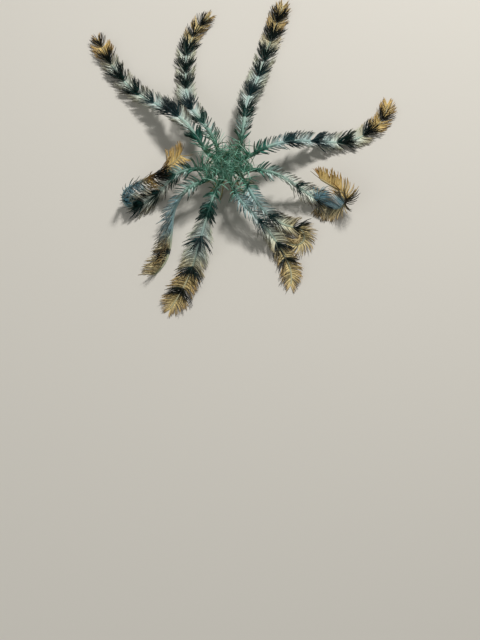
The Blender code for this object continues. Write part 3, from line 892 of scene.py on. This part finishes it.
# Stretches of an arm where the pinnules lie otherwise: all swept over to one hand, 1
# for the left, with a wider slant, or laid along one heading and at one rise on each
# side, left and right, all in degrees, how many more of them there are, and how many
# times as blue each side is: above 1 the blue reaches the tips and hides the bands.
Sweep = namedtuple("Sweep", "arm start end hand slant headings rises more blues",
                   defaults=(0, 0, None, None, 0, None))
SWEEPS = (
    Sweep(3, 38, 57, headings=(152, 236), rises=(22, 0), more=80, blues=(2.6, 0.25)),
    Sweep(3, 58, 90, headings=(106, 80), rises=(10, 24), more=10),
    Sweep(7, 16, 90, hand=-1),
    Sweep(8, 41, 120, hand=-1, slant=22),
    Sweep(8, 73, 120, headings=(82, -48), rises=(20, 16), more=24),
)
SWEEP_EDGE = 5.0 * MM


def pinnule_roots(index, draws):
    """Where pinnules grow along an arm, on which side, 1 for the left, and which of
    them are in the crown over the disc.

    They stand one step apart, give or take, and on the inner course only a share of
    them is kept. Dark bands have more, and so have the stretches that are laid.
    """
    total = lines[index].along[-1]
    number = np.arange(int(FIRST_ROOT / PINNULE_STEP), int(total / PINNULE_STEP))
    scatter = draws.uniform(-ROOT_SCATTER, ROOT_SCATTER, len(number))
    root = (number + 0.5 + scatter) * PINNULE_STEP
    outer = ease((root - HABITS[index].inner_ends * MM) / OPENING)
    root = root[draws.uniform(0.0, 1.0, len(root)) < toward(outer, INNER_SHARE, 1.0)]
    more = draws.uniform(MORE_FROM, total, int(DARK_MORE * (total - MORE_FROM) / PINNULE_STEP))
    laid = [draws.uniform(sweep.start * MM, sweep.end * MM, sweep.more)
            for sweep in SWEEPS if sweep.arm == index]
    root = np.sort(np.concatenate((root, more[darkness(index, more) > 0.5], *laid)))
    in_crown = np.repeat((0.0, 1.0), (len(root), CROWN_COUNT))
    root = np.concatenate((root, draws.uniform(CROWN_FIRST, CROWN_LAST, CROWN_COUNT)))
    return root, np.where(np.arange(len(root)) % 2 == 0, 1.0, -1.0), in_crown


trial = np.random.default_rng(SEED)
first_roots = pinnule_roots(0, trial)
print(len(first_roots[0]), "pinnules on the first arm")

# %% How each of them leans
PINNULE_RISE = 30.0
INNER_SPREAD = 20.0
RISE_SCATTER = 5.0
RISE_WAVE = 16.0
FAN_HIGH = 84.0
PALE_FAN_HIGH = 34.0
INNER_SLANT = 64.0
DARK_SLANT = 6.0
DARK_LEAN = 20.0
PALE_UPRIGHT = 10.0
GATHER = 6.0
SLANT_SCATTER = 2.5
SLANT_WAVE = 10.0
WAVE_LENGTH = 20
PINNULE_CURL = 30.0
OUTER_CURL = 44.0
CURL_SCATTER = 5.0
INNER_LENGTH = 6.0 * MM
PALE_LENGTH = 0.9
LENGTH_SCATTER = 0.1
SHORTEST, LONGEST = -2.0, 1.2
ORAL_ZONE = 11.0 * MM
ORAL_LENGTH = 10.6 * MM
ORAL_RISE = 60.0
END_ZONE = 7.0 * MM
END_LENGTH = 5.0 * MM
END_SLANT = 22.0
END_OPEN = 0.6
END_STRAIGHT = 0.8
SWEPT_DOWN = 12.0
SWEPT_OVER = 95.0
SWEPT_FLATTER = 0.2
SWEEP_LOOSE = 8.0
Lean = namedtuple("Lean", "slant rise curl length oral sweeps chance")


def pinnule_lean(index, root, side, in_crown, draws):
    """Slant, rise and curl in degrees and length of every pinnule at its root.

    Each number goes from its inner value to its outer one over the opening, and from
    there to its own value over the disc and at the arm's end. On the outer course the
    rise is the arc cosine of 1 less an even draw times 1 less the cosine of the
    highest rise, so that seen from above the tufts are equally dense across. A dark
    pinnule leans forwards the more, the higher it stands, and those at both edges of
    a band lean out by the gathering times the squared place in it.
    """
    habit = HABITS[index]
    total = lines[index].along[-1]
    chance = draws.normal(0.0, 1.0, (len(root), 6))
    slant_wave, rise_wave = (
        evened(draws.normal(0.0, 1.0, len(root)), WAVE_LENGTH) for _ in range(2))
    oral = np.maximum(1.0 - ease(root / ORAL_ZONE), in_crown)
    outer = ease((root - habit.inner_ends * MM) / OPENING)
    sweeps = [(sweep, within(root, sweep.start, sweep.end, SWEEP_EDGE))
              for sweep in SWEEPS if sweep.arm == index]
    swept = np.clip(sum(share for _, share in sweeps), 0.0, 1.0)
    end = (1.0 - ease((total - root) / END_ZONE)) * (1.0 - END_OPEN * swept)
    in_dark = darkness(index, root)
    edges = dark_spans(index).ravel()
    before, after = (edges[np.clip(np.searchsorted(edges, root) - back, 0, len(edges) - 1)]
                     for back in (1, 0))
    in_band = (root - 0.5 * (before + after)) / np.maximum(0.5 * (after - before), MM)
    in_band = np.clip(in_band, -1.0, 1.0)

    lowest_cosine = np.cos(np.radians(toward(in_dark, PALE_FAN_HIGH, FAN_HIGH)))
    fan = np.degrees(np.arccos(1.0 - (1.0 - lowest_cosine) * draws.uniform(0.0, 1.0, len(root))))
    rise = toward(outer, PINNULE_RISE, fan) + RISE_SCATTER * chance[:, 1] + RISE_WAVE * rise_wave
    rise = toward(oral, rise + (1.0 - outer) * INNER_SPREAD * chance[:, 4], ORAL_RISE)
    upright = fan / FAN_HIGH
    forwards = toward(in_dark, PALE_UPRIGHT * upright, DARK_SLANT - DARK_LEAN * upright)
    slant = toward(end, toward(outer, INNER_SLANT, habit.slant + forwards), END_SLANT)
    slant += GATHER * in_band ** 2 + SLANT_SCATTER * chance[:, 0] + SLANT_WAVE * slant_wave
    curl = toward(outer, PINNULE_CURL, OUTER_CURL) + CURL_SCATTER * chance[:, 3]
    length = toward(outer, INNER_LENGTH, habit.length * MM * toward(in_dark, PALE_LENGTH, 1.0))
    length = toward(end, toward(oral, length, ORAL_LENGTH), END_LENGTH)
    length *= 1.0 + LENGTH_SCATTER * np.clip(chance[:, 2], SHORTEST, LONGEST)
    for sweep, share in sweeps:
        over = np.where(side == sweep.hand, -SWEPT_DOWN, SWEPT_OVER - SWEPT_FLATTER * rise)
        rise += share * abs(sweep.hand) * over
        slant += share * (sweep.slant + SWEEP_LOOSE * chance[:, 5])
    return Lean(slant, rise, curl * (1.0 - END_STRAIGHT * end), length, oral, sweeps, chance)


first_lean = pinnule_lean(0, *first_roots, trial)
print("they are", np.round(np.percentile(first_lean.length / MM, (5, 95)), 1).tolist(), "mm long")

# %% The path of every pinnule of an arm
PINNULE_SAG = 8.0
LAID_SPREAD = 22.0
LAID_SCATTER = 8.0
ORAL_START = 72.0
ORAL_SCATTER = 7.0
ORAL_BEND = 84.0
ORAL_SWIRL = 26.0
SWIRL_SCATTER = 14.0
CROWN_SPREAD = 60.0


def unit(vectors):
    """Vectors made one long."""
    return vectors / np.linalg.norm(vectors, axis=-1, keepdims=True)


def blended(share, ways, others):
    """Ways that turn from the first to the others as each pinnule's share grows to 1."""
    return unit(toward(share[:, None, None], ways, others))


def pinnule_paths(index, draws):
    """Stations of all pinnules on an arm, the ways they point, and their numbers.

    At every station the way is: cosine of the slant forwards, and its sine shared
    between left and up by the fan angle. The slant shrinks outwards, which curls the
    blade. Where pinnules are laid, that way is blended into one along their heading.
    On the first plates it is blended into one that starts steeply up and bends in
    over the disc. The path is the running sum of the ways.
    """
    root, side, in_crown = pinnule_roots(index, draws)
    lean = pinnule_lean(index, root, side, in_crown, draws)
    place = at(lines[index], root)
    slants = np.radians(lean.slant[:, None] - lean.curl[:, None] * halfway)
    rises = lean.rise[:, None] - PINNULE_SAG * halfway
    fans = np.radians(np.where(side[:, None] > 0.0, rises, 180.0 - rises))
    forward, left, up = (vectors[:, None, :] for vectors in (place.forward, place.left, place.up))
    aside = np.cos(fans)[..., None] * left + np.sin(fans)[..., None] * up
    way = np.cos(slants)[..., None] * forward + np.sin(slants)[..., None] * aside
    for sweep, share in lean.sweeps:
        if sweep.headings:
            heading = np.where(side > 0.0, *sweep.headings)[:, None]
            laid = level(heading + LAID_SPREAD * halfway ** 2 + LAID_SCATTER * lean.chance[:, 3:4])
            laid[..., 2] = np.tan(np.radians(np.where(side > 0.0, *sweep.rises)))[:, None]
            way = blended(share, way, unit(laid))
    inward = np.degrees(np.arctan2(BODY_Y - place.points[:, 1], BODY_X - place.points[:, 0]))
    swirl = inward + ORAL_SWIRL * side
    swirl += (SWIRL_SCATTER + CROWN_SPREAD * in_crown) * lean.chance[:, 4]
    steep = np.radians(ORAL_START + ORAL_SCATTER * lean.chance[:, 5:6] - ORAL_BEND * halfway)
    over = np.cos(steep)[..., None] * level(swirl)[:, None, :]
    over[..., 2] = np.sin(steep)
    way = blended(lean.oral, way, over)
    steps = way * (lean.length[:, None] * np.diff(out))[..., None]
    gone = np.concatenate((0.0 * steps[:, :1], np.cumsum(steps, axis=1)), axis=1)
    ways = np.concatenate((way[:, :1], 0.5 * (way[:, 1:] + way[:, :-1]), way[:, -1:]), axis=1)
    path = place.points[:, None, :] + gone
    return path, unit(ways), place.forward, root, side, lean.oral


first_paths = pinnule_paths(0, np.random.default_rng(SEED))[0]
print("the first arm's reach", round(first_paths[..., 2].max() / MM, 1), "mm high")

# %% Blades round the paths
def blade_frames(ways, forward):
    """Width and thickness directions at every station: the arm's way, less its share
    along the blade, is carried outwards station by station without twisting."""
    width = np.empty_like(ways)
    carried = forward
    for station in range(ways.shape[1]):
        way = ways[:, station]
        carried = unit(carried - (carried * way).sum(axis=-1, keepdims=True) * way)
        width[:, station] = carried
    return width, np.cross(ways, width)


def blade_half_width(root, root_radius, oral):
    """Half width at every station: (0.72 + 0.7 t)(1 - t) to the power 0.5, where t is
    the share outwards, times the blade's own size, which grows with the arm's radius,
    is stouter on the inner course and slimmer over the disc."""
    t = out[:-1]
    shape = (0.72 + 0.7 * t) * (1.0 - t) ** 0.5
    stout = 1.0 + INNER_STOUT * (1.0 - ease(root / INNER_ZONE))
    width = PINNULE_WIDTH * toward(root_radius / ARM_RADIUS, TIP_WIDTH_SHARE, 1.0)
    return (width * toward(oral, stout, ORAL_SLIM))[:, None] * shape


widest = 2.0 * blade_half_width(np.zeros(1), ARM_RADIUS, np.zeros(1)).max()
print("a blade is", round(widest / MM, 2), "mm wide at most")

# %% One piece for each arm
# Some of the inner pinnules are dark almost to the root, others only at the tip.
INK_SHARES = (1.0, 0.8, 0.4)
INK_EDGE = 8.0 * MM
ORAL_PLAIN = 0.7


def pinnule_numbers(index, root, side, oral, draws):
    """Numbers of every pinnule for the finish. Over the disc the bands and the dark
    tips fade, and on a blue stretch that is laid the blue hides the bands."""
    blue = blueness(index, root)
    dark = darkness(index, root) * (1.0 - ORAL_PLAIN * oral)
    for sweep in SWEEPS:
        if sweep.arm == index and sweep.blues:
            blue *= np.where(side > 0.0, *sweep.blues)
            dark *= 1.0 - np.clip(blue, 0.0, 1.0)
    ink = (1.0 - ease((root - MARKINGS[index].ink * MM) / INK_EDGE)) * (1.0 - ORAL_PLAIN * oral)
    ink *= draws.choice(INK_SHARES, len(root))
    tone = draws.uniform(0.0, 1.0, len(root))
    return {"dark": dark, "zone": zone(index, root), "blue": blue, "ink": ink, "tone": tone}


def pinnule_piece(index, draws):
    """All pinnules of an arm as one piece, with its numbers and its unwrap."""
    path, ways, forward, root, side, oral = pinnule_paths(index, draws)
    width, thick = blade_frames(ways, forward)
    half = blade_half_width(root, np.interp(root, lines[index].along, lines[index].radii), oral)
    floor_room = FLOOR_ROOM + PINNULE_THICKNESS * np.pad(half, ((0, 0), (0, 1)))
    path[..., 2] = np.maximum(path[..., 2], floor_room)
    angle = ring_angles(BLADE_SIDES)
    place = Place(path[:, :-1], None, width[:, :-1], thick[:, :-1], None)
    wide = half[..., None] * np.ones(BLADE_SIDES)
    rings = rings_of(place, angle, wide, PINNULE_THICKNESS * wide)
    points = np.concatenate((rings.reshape(len(root), -1, 3), path[:, -1:]), axis=1)
    points[..., 2] = np.maximum(points[..., 2], 0.0)
    layout = tube_layout(STATIONS, BLADE_SIDES)
    faces = repeated(layout, *points.shape[:2])
    mesh = mesh_of(f"pinnules_{index + 1:02d}", points.reshape(-1, 3), faces)
    for name, values in pinnule_numbers(index, root, side, oral, draws).items():
        set_number(mesh, name, np.repeat(values, points.shape[1]))
    set_number(mesh, "out", np.tile(np.append(np.repeat(out[:-1], BLADE_SIDES), 1.0), len(root)))
    # The painted glint: how near each point is to the pale highlight painted along one edge of its
    # blade.
    painted_glint = np.clip(np.cos(angle + np.radians(PAINTED_GLINT_ANGLE) * side[:, None]), 0.0, 1.0)
    painted_glint = np.concatenate((np.tile(painted_glint, STATIONS), np.full((len(root), 1), 0.5)), axis=1)
    set_number(mesh, "painted_glint", painted_glint.ravel())
    u, v = strip_place(index, root, np.where(side > 0.0, 0.25 * TURN, 0.75 * TURN))
    middle = np.stack((u, v), axis=-1)[:, None, None, :]
    corners = [(middle + PATCH * (places - 0.5)).reshape(-1, 2) for places in layout.places]
    bake = mesh.uv_layers.new(name="OFBake")
    bake.data.foreach_set("uv", np.concatenate(corners).astype(np.float32).ravel())
    return add_piece(mesh.name, mesh)


draws = np.random.default_rng(SEED)
coat = [pinnule_piece(index, draws) for index in range(len(ARMS))]
coat_faces = sum(len(face.vertices) - 2 for piece in coat for face in piece.data.polygons)
per_pinnule = BLADE_SIDES * (STATIONS * 2 - 1) + BLADE_SIDES - 2
print(coat_faces // per_pinnule, "pinnules,", coat_faces, "triangles")

# %% [markdown]
# ## The underside: centrodorsal and cirri
# Under the disc sits a knob of lime, the centrodorsal, pitted with the sockets of
# the cirri, the hooked legs that the animal holds on with. A lathe profile gives the
# knob, and two rings of round dents are added to it by formula. A cirrus is a chain
# of some sixteen plates and ends in a claw that rests on the floor.

# %% The knob
KNOB_RADIUS = 3.1 * MM
KNOB_TOP_RADIUS = 2.5 * MM
KNOB_TOP = 13.9 * MM
KNOB_BOTTOM = 7.2 * MM
KNOB_BULGE = 9.6 * MM
SOCKET_RADIUS = 0.62 * MM
SOCKET_DEPTH = 0.25 * MM
CIRRUS_COUNT = 12
CIRRUS_HEIGHT = 9.2 * MM
# Height of each ring of sockets, and its turn as a share of the way between two.
SOCKET_ROWS = ((CIRRUS_HEIGHT, 0.5), (CIRRUS_HEIGHT + 1.35 * MM, 0.0))
KNOB_FOOT = 0.35
KNOB_CROWDING = 1.3


def knob_mesh(rings=70, sides=144):
    """A turned knob: the radius is an ease up from the bottom to the bulge and an
    ease down to the neck, less a round dent at every socket, a bell of the distance
    to the fourth power."""
    share = np.linspace(0.0, 1.0, rings)[:, None]
    heading = ring_angles(sides)[None, :]
    height = toward(share ** KNOB_CROWDING, KNOB_BOTTOM, KNOB_TOP)
    low = ease(np.sqrt(np.clip((height - KNOB_BOTTOM) / (KNOB_BULGE - KNOB_BOTTOM), 0.0, 1.0)))
    high = ease((height - KNOB_BULGE) / (KNOB_TOP - KNOB_BULGE))
    radius = KNOB_RADIUS * toward(low, KNOB_FOOT, 1.0) + (KNOB_TOP_RADIUS - KNOB_RADIUS) * high
    radius = radius * np.ones_like(heading)
    for row_height, turn in SOCKET_ROWS:
        middle = (np.round(heading * CIRRUS_COUNT / TURN - turn) + turn) * TURN / CIRRUS_COUNT
        apart = np.hypot((heading - middle) * KNOB_RADIUS, height - row_height)
        radius = radius - SOCKET_DEPTH * np.exp(-((apart / SOCKET_RADIUS) ** 4))
    grid = np.stack((BODY_X + radius * np.cos(heading), BODY_Y + radius * np.sin(heading),
                     height * np.ones_like(heading)), axis=-1)
    layout = tube_layout(rings, sides)
    bottom = pole_faces(rings * sides + 1, 0, sides)[:, (0, 2, 1)]
    poles = np.array(((BODY_X, BODY_Y, KNOB_TOP), (BODY_X, BODY_Y, KNOB_BOTTOM)))
    return mesh_of("centrodorsal_knob", np.concatenate((grid.reshape(-1, 3), poles)),
                   (layout.quads, layout.fan, bottom))


knob = add_piece("centrodorsal_knob", knob_mesh())
print("knob:", len(knob.data.polygons), "faces")

# %% The cirri
CIRRUS_REACH = 9.6 * MM
CIRRUS_SPREAD = 1.2 * MM
CIRRUS_RADIUS = 0.5 * MM
CIRRUS_TIP_RADIUS = 0.36 * MM
CIRRUS_PLATES = 16
CIRRUS_RINGS = 5 * CIRRUS_PLATES
CIRRUS_SIDES = 10
CLAW_SHARE = 0.93
CLAW_TAPER = 0.8
CLAW_POINT = 0.1 * MM
CIRRUS_FIRST = -0.06
CIRRUS_INSET = 0.3 * MM
CIRRUS_STEEP = 1.2
CIRRUS_JOINT_DEPTH = 0.14
CIRRUS_FLAT = 0.85


def cirrus_points(number):
    """Rings from inside the knob out and down to the floor.

    The height goes from the socket to the floor by an ease of the share outwards
    times the steepness. The radius dips at every joint between plates and shrinks to
    a blunt point over the claw.
    """
    heading = 360.0 * (number + 0.5) / CIRRUS_COUNT
    part = np.linspace(CIRRUS_FIRST, 1.0, CIRRUS_RINGS)
    held = np.clip(part, 0.0, 1.0)
    reach = CIRRUS_REACH + CIRRUS_SPREAD * math.cos(math.radians(3.0 * heading))
    radius = toward(held, CIRRUS_RADIUS, CIRRUS_TIP_RADIUS)
    outward = (KNOB_RADIUS + CIRRUS_INSET + part * reach)[:, None] * level(heading)
    path = np.array((BODY_X, BODY_Y, 0.0)) + outward
    path[:, 2] = toward(ease(CIRRUS_STEEP * held), CIRRUS_HEIGHT, SETTLE * radius)
    forward = unit(np.gradient(path, axis=0))
    left = np.broadcast_to(level(heading + 90.0), path.shape)
    place = Place(path, forward, left, np.cross(forward, left), radius)
    joint = at_joints(CIRRUS_PLATES * held, 3)
    claw = 1.0 - CLAW_TAPER * ease((held - CLAW_SHARE) / (1.0 - CLAW_SHARE))
    girth = (radius * (1.0 - CIRRUS_JOINT_DEPTH * joint) * claw)[:, None] * np.ones(CIRRUS_SIDES)
    rings = rings_of(place, ring_angles(CIRRUS_SIDES), CIRRUS_FLAT * girth, girth)
    rings[..., 2] = np.maximum(rings[..., 2], 0.0)
    pole = path[-1] + CLAW_POINT * forward[-1]
    return np.concatenate((rings.reshape(-1, 3), pole[None]))


layout = tube_layout(CIRRUS_RINGS, CIRRUS_SIDES)
points = np.stack([cirrus_points(number) for number in range(CIRRUS_COUNT)])
cirri_mesh = mesh_of("cirri", points.reshape(-1, 3), repeated(layout, *points.shape[:2]))
cirri = add_piece("cirri", cirri_mesh)
print("cirri:", len(cirri_mesh.polygons), "faces")

# %% [markdown]
# ## Finish of the skin and the coat
# A live feather star is lime under a thin film of skin, wet from the sea. Light
# glances off the film in small sharp glints while the colour underneath is matt, so
# the finish is a rough colour with a clear, smooth coat. The colours could be painted
# by hand. Here each finish starts as three tables that read the stored numbers: shares
# say how much there is of a thing, ramps give a colour for every zone of the arm, and
# mixes lay one colour over another in turn.


# %% From tables to nodes
def add_tables(tree, made, shares, ramps, mixes):
    """Add the nodes of three tables to a tree, and their outputs to those made before.

    A share runs straight from its first value to its last one while a number runs
    between two others, is held outside them, and is then multiplied by a second
    number where one is named. A ramp gives a colour for each value of a number. A mix
    goes from its first colour to its second as its share goes from 0 to 1.
    """
    for name, (number, *ends, times) in shares.items():
        sockets = ("Value", "From Min", "From Max", "To Min", "To Max")
        made[name] = add_node(tree, "ShaderNodeMapRange", dict(zip(sockets, (made[number], *ends))))
        if times:
            factors = {0: made[name], 1: made[times]}
            made[name] = add_node(tree, "ShaderNodeMath", factors, operation="MULTIPLY")
    for name, (number, *stops) in ramps.items():
        made[name] = add_node(tree, "ShaderNodeValToRGB", {"Fac": made[number]}, stops=stops)
    for name, share, first, second in mixes:
        inputs = {0: made[share], 6: made.get(first, first), 7: made.get(second, second)}
        made[name] = add_node(tree, "ShaderNodeMix", inputs, out=2, data_type="RGBA")


print("pieces that read stored numbers:", len([skin, *coat]))

# %% Finish of the skin
# Film of wet skin over lime plates, grown and not made: under water it shines in
# points, and along the arm the plates' joints read as fine dark lines.
SKIN_NUMBERS = ("dark", "zone", "blue", "disc", "plate")
SKIN_SHARES = {
    "blued": ("blue", 0.0, 1.0, 0.0, 0.8, None),
    "off_joint": ("from_joint", 0.0, 0.12, 0.0, 1.0, None),
    "rough": ("blotch", 0.3, 0.7, 0.42, 0.58, None),
}
SKIN_RAMPS = {
    "pale_plates": ("zone", (0.0, "#3f6f58"), (0.22, "#729686"), (0.5, "#a9bdb0"),
                    (0.75, "#a8ae92"), (1.0, "#a69567")),
    "dark_plates": ("zone", (0.0, "#14523c"), (0.3, "#14493b"), (0.5, "#0f3028"), (1.0, "#12130d")),
    "blotched": ("blotch", (0.3, "#0f3a2b"), (0.5, "#1c4f3b"), (0.62, "#3d6a45"),
                 (0.72, "#77793f")),
    "joint_tint": ("off_joint", (0.0, "#7f8f86"), (1.0, "#ffffff")),
}
SKIN_MIXES = (
    ("banded", "dark", "pale_plates", "dark_plates"),
    ("blue_banded", "dark", "#7fa3ab", "#23454e"),
    ("arms", "blued", "banded", "blue_banded"),
    ("whole", "disc", "arms", "blotched"),
)
JOINT_LINE = 0.55

skin_finish, tree, shader = new_finish("wet_skin_over_lime_plates")
made = {name: add_node(tree, "ShaderNodeAttribute", out="Fac", attribute_name=name)
        for name in SKIN_NUMBERS}
# A plate's number climbs from 0 at one joint to a half in its middle, and falls again.
halves = {0: made["plate"], 1: 0.5}
made["from_joint"] = add_node(tree, "ShaderNodeMath", halves, operation="PINGPONG")
place_on = add_node(tree, "ShaderNodeTexCoord", out="Object")
# Blotches about 1.5 mm across: 660 to the metre.
blotches = {"Vector": place_on, "Scale": 660.0, "Detail": 3.0}
made["blotch"] = add_node(tree, "ShaderNodeTexNoise", blotches)
add_tables(tree, made, SKIN_SHARES, SKIN_RAMPS, SKIN_MIXES)
lined = add_node(tree, "ShaderNodeMix", {0: JOINT_LINE, 6: made["whole"], 7: made["joint_tint"]},
                 out=2, data_type="RGBA", blend_type="MULTIPLY")
# Pores about 0.25 mm across, coarser than the real ones so that they show at all.
pores = add_node(tree, "ShaderNodeTexNoise", {"Vector": place_on, "Scale": 4000.0, "Detail": 2.0})
relief = add_node(tree, "ShaderNodeMath", {0: made["off_joint"], 1: pores}, operation="ADD")
bump = add_node(tree, "ShaderNodeBump", {"Height": relief, "Strength": 0.5, "Distance": 0.06 * MM})
feed(shader, {"Base Color": lined, "Normal": bump, "Roughness": made["rough"],
              "IOR": 1.4, "Coat Weight": 0.2, "Coat Roughness": 0.2})
skin_mesh.materials.clear()
skin_mesh.materials.append(skin_finish)
print(len(tree.nodes), "nodes in", skin_finish.name)

# %% Finish of the pinnules
# Slim blades of lime plates under the same wet film: the colour is matt and deep, with
# a thin highlight painted along each blade as a glint.
BLADE_NUMBERS = ("dark", "zone", "blue", "ink", "tone", "out", "painted_glint")
BLADE_SHARES = {
    "outwards": ("out", 0.25, 0.8, 0.0, 1.0, None),
    # A pale highlight is painted along the leading edge as a glint, fading before the tip.
    "before_tip": ("out", 0.55, 1.0, 1.0, 0.35, None),
    "on_painted_glint": ("painted_glint", 0.35, 0.9, 0.0, 1.0, "before_tip"),
    "deepening": ("out", 0.3, 0.75, 0.0, 0.75, None),
    "inky": ("out", 0.35, 0.7, 0.0, 0.9, "ink"),
    # Blue pinnules lose most of their blue towards the tips.
    "blued": ("out", 0.35, 0.9, 0.95, 0.35, "blue"),
    # Near the body one pinnule in four is olive, and another one shines pale green.
    "near_body": ("zone", 0.02, 0.16, 1.0, 0.0, None),
    "olive": ("tone", 0.05, 0.25, 0.5, 0.0, "near_body"),
    "shining": ("tone", 0.72, 0.85, 0.0, 0.6, "near_body"),
    "shade": ("tone", 0.1, 0.5, 0.42, 1.15, None),
}
BLADE_RAMPS = {
    "pale_root": ("zone", (0.0, "#458a6b"), (0.12, "#4f806b"), (0.25, "#6a8f82"),
                  (0.45, "#cbd8ca"), (0.6, "#c2c6ab"), (0.8, "#bfae7a"), (1.0, "#af8e50")),
    "pale_tip": ("zone", (0.0, "#33705a"), (0.12, "#3b6854"), (0.25, "#4a6d61"),
                 (0.45, "#bcbea2"), (0.6, "#b1a378"), (0.8, "#8f7243"), (1.0, "#936c30")),
    # Colour of the highlight painted along each pale blade.
    "pale_painted_glint": ("zone", (0.0, "#c2ecd2"), (0.2, "#c6d9d1"), (0.45, "#e3ebe6"),
                    (0.6, "#e6e3cd"), (0.8, "#e6d6a3"), (1.0, "#e8cd88")),
    "dark_root": ("zone", (0.0, "#1b5a45"), (0.25, "#154536"), (0.37, "#10362a"),
                  (0.5, "#0b2018"), (0.75, "#0b130e"), (1.0, "#0c0b07")),
    # Colour of the highlight painted along each dark blade, a teal glint.
    "dark_painted_glint": ("zone", (0.0, "#4f8f78"), (0.25, "#468478"), (0.5, "#356460"),
                    (0.75, "#2b4743"), (1.0, "#3a3a26")),
    "dark_tip": ("zone", (0.0, "#0e3327"), (0.2, "#0d2a20"), (0.37, "#0b2219"),
                 (0.5, "#080f0b"), (1.0, "#0a0906")),
    "inky_tip": ("zone", (0.0, "#0e3327"), (0.2, "#0d2a20"), (0.37, "#0b2219"),
                 (0.5, "#38291a"), (1.0, "#3a260f")),
}
BLADE_MIXES = (
    ("pale", "outwards", "pale_root", "pale_tip"),
    ("pale", "on_painted_glint", "pale", "pale_painted_glint"),
    ("pale", "inky", "pale", "inky_tip"),
    ("deep", "on_painted_glint", "dark_root", "dark_painted_glint"),
    ("deep", "deepening", "deep", "dark_tip"),
    ("blade", "dark", "pale", "deep"),
    # Blue blades with a pale highlight painted along each one.
    ("blue_with_painted_glint", "on_painted_glint", "#3f8196", "#c3e0e6"),
    ("blue_blade", "dark", "blue_with_painted_glint", "#1c3f4c"),
    ("blade", "blued", "blade", "blue_blade"),
    ("blade", "olive", "blade", "#8f9a58"),
    ("blade", "shining", "blade", "#9fdcc0"),
)
PINNULE_PLATES = 14.0

blade_finish, tree, shader = new_finish("wet_pinnule_blades")
made = {name: add_node(tree, "ShaderNodeAttribute", out="Fac", attribute_name=name)
        for name in BLADE_NUMBERS}
add_tables(tree, made, BLADE_SHARES, BLADE_RAMPS, BLADE_MIXES)
varied = add_node(tree, "ShaderNodeHueSaturation", {"Color": made["blade"], "Value": made["shade"]})
# Every plate of a pinnule is a soft step in the film.
plates = add_node(tree, "ShaderNodeMath", {0: made["out"], 1: PINNULE_PLATES}, operation="MULTIPLY")
step = add_node(tree, "ShaderNodeMath", {0: plates, 1: 0.5}, operation="PINGPONG")
bump = add_node(tree, "ShaderNodeBump", {"Height": step, "Strength": 0.4, "Distance": 0.08 * MM})
feed(shader, {"Base Color": varied, "Normal": bump, "Roughness": 0.45,
              "IOR": 1.3, "Coat Weight": 0.06, "Coat Roughness": 0.15})
for piece in coat:
    piece.data.materials.append(blade_finish)
print(len(tree.nodes), "nodes in", blade_finish.name)

# %% [markdown]
# ## Finish of the underside
# The knob and the cirri are lime plates with hardly any skin, tan with a greenish
# cast. One flat colour would make them look cast in one piece, so they are mottled in
# the real size and finely grained.

# %% Lime of the knob and the cirri
# Bare lime plates, grown: a chalky tan, mottled green, with a faint wet shine.
lime_finish, tree, shader = new_finish("bare_lime_plates")
place_on = add_node(tree, "ShaderNodeTexCoord", out="Object")
# Mottling about 1.1 mm across, and grain about 0.2 mm.
mottle = add_node(tree, "ShaderNodeTexNoise", {"Vector": place_on, "Scale": 900.0, "Detail": 4.0})
lime_colour = add_node(tree, "ShaderNodeValToRGB", {"Fac": mottle},
                       stops=((0.3, "#5d6b45"), (0.5, "#8f8a55"), (0.7, "#b9a770")))
grain = add_node(tree, "ShaderNodeTexNoise", {"Vector": place_on, "Scale": 5000.0, "Detail": 2.0})
bump = add_node(tree, "ShaderNodeBump", {"Height": grain, "Strength": 0.4, "Distance": 0.05 * MM})
feed(shader, {"Base Color": lime_colour, "Normal": bump, "Roughness": 0.45,
              "Coat Weight": 0.25, "Coat Roughness": 0.2})
for piece in (knob, cirri):
    piece.data.materials.append(lime_finish)
print(len(tree.nodes), "nodes in", lime_finish.name)

# %% [markdown]
# ## Standing for the solids
# The imported solids stay in the physics. In the picture the skin and the pinnules
# take the place of disc, rays and arms, and the knob and the cirri that of theirs.

# %% Replace the solids
LENGTH_NAMES = ("inner", "middle", "outer", "tip")
arm_nodes = [[f"arm_{index + 1:02d}_{part}" for part in LENGTH_NAMES] for index in range(len(ARMS))]
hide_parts("disc", *[f"ray_{number + 1}" for number in range(len(RAY_HEADINGS))])
for piece, nodes in zip(coat, arm_nodes):
    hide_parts(*nodes)
    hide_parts(*nodes)
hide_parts("centrodorsal")
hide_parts(*[f"cirrus_{number + 1:02d}" for number in range(CIRRUS_COUNT)])
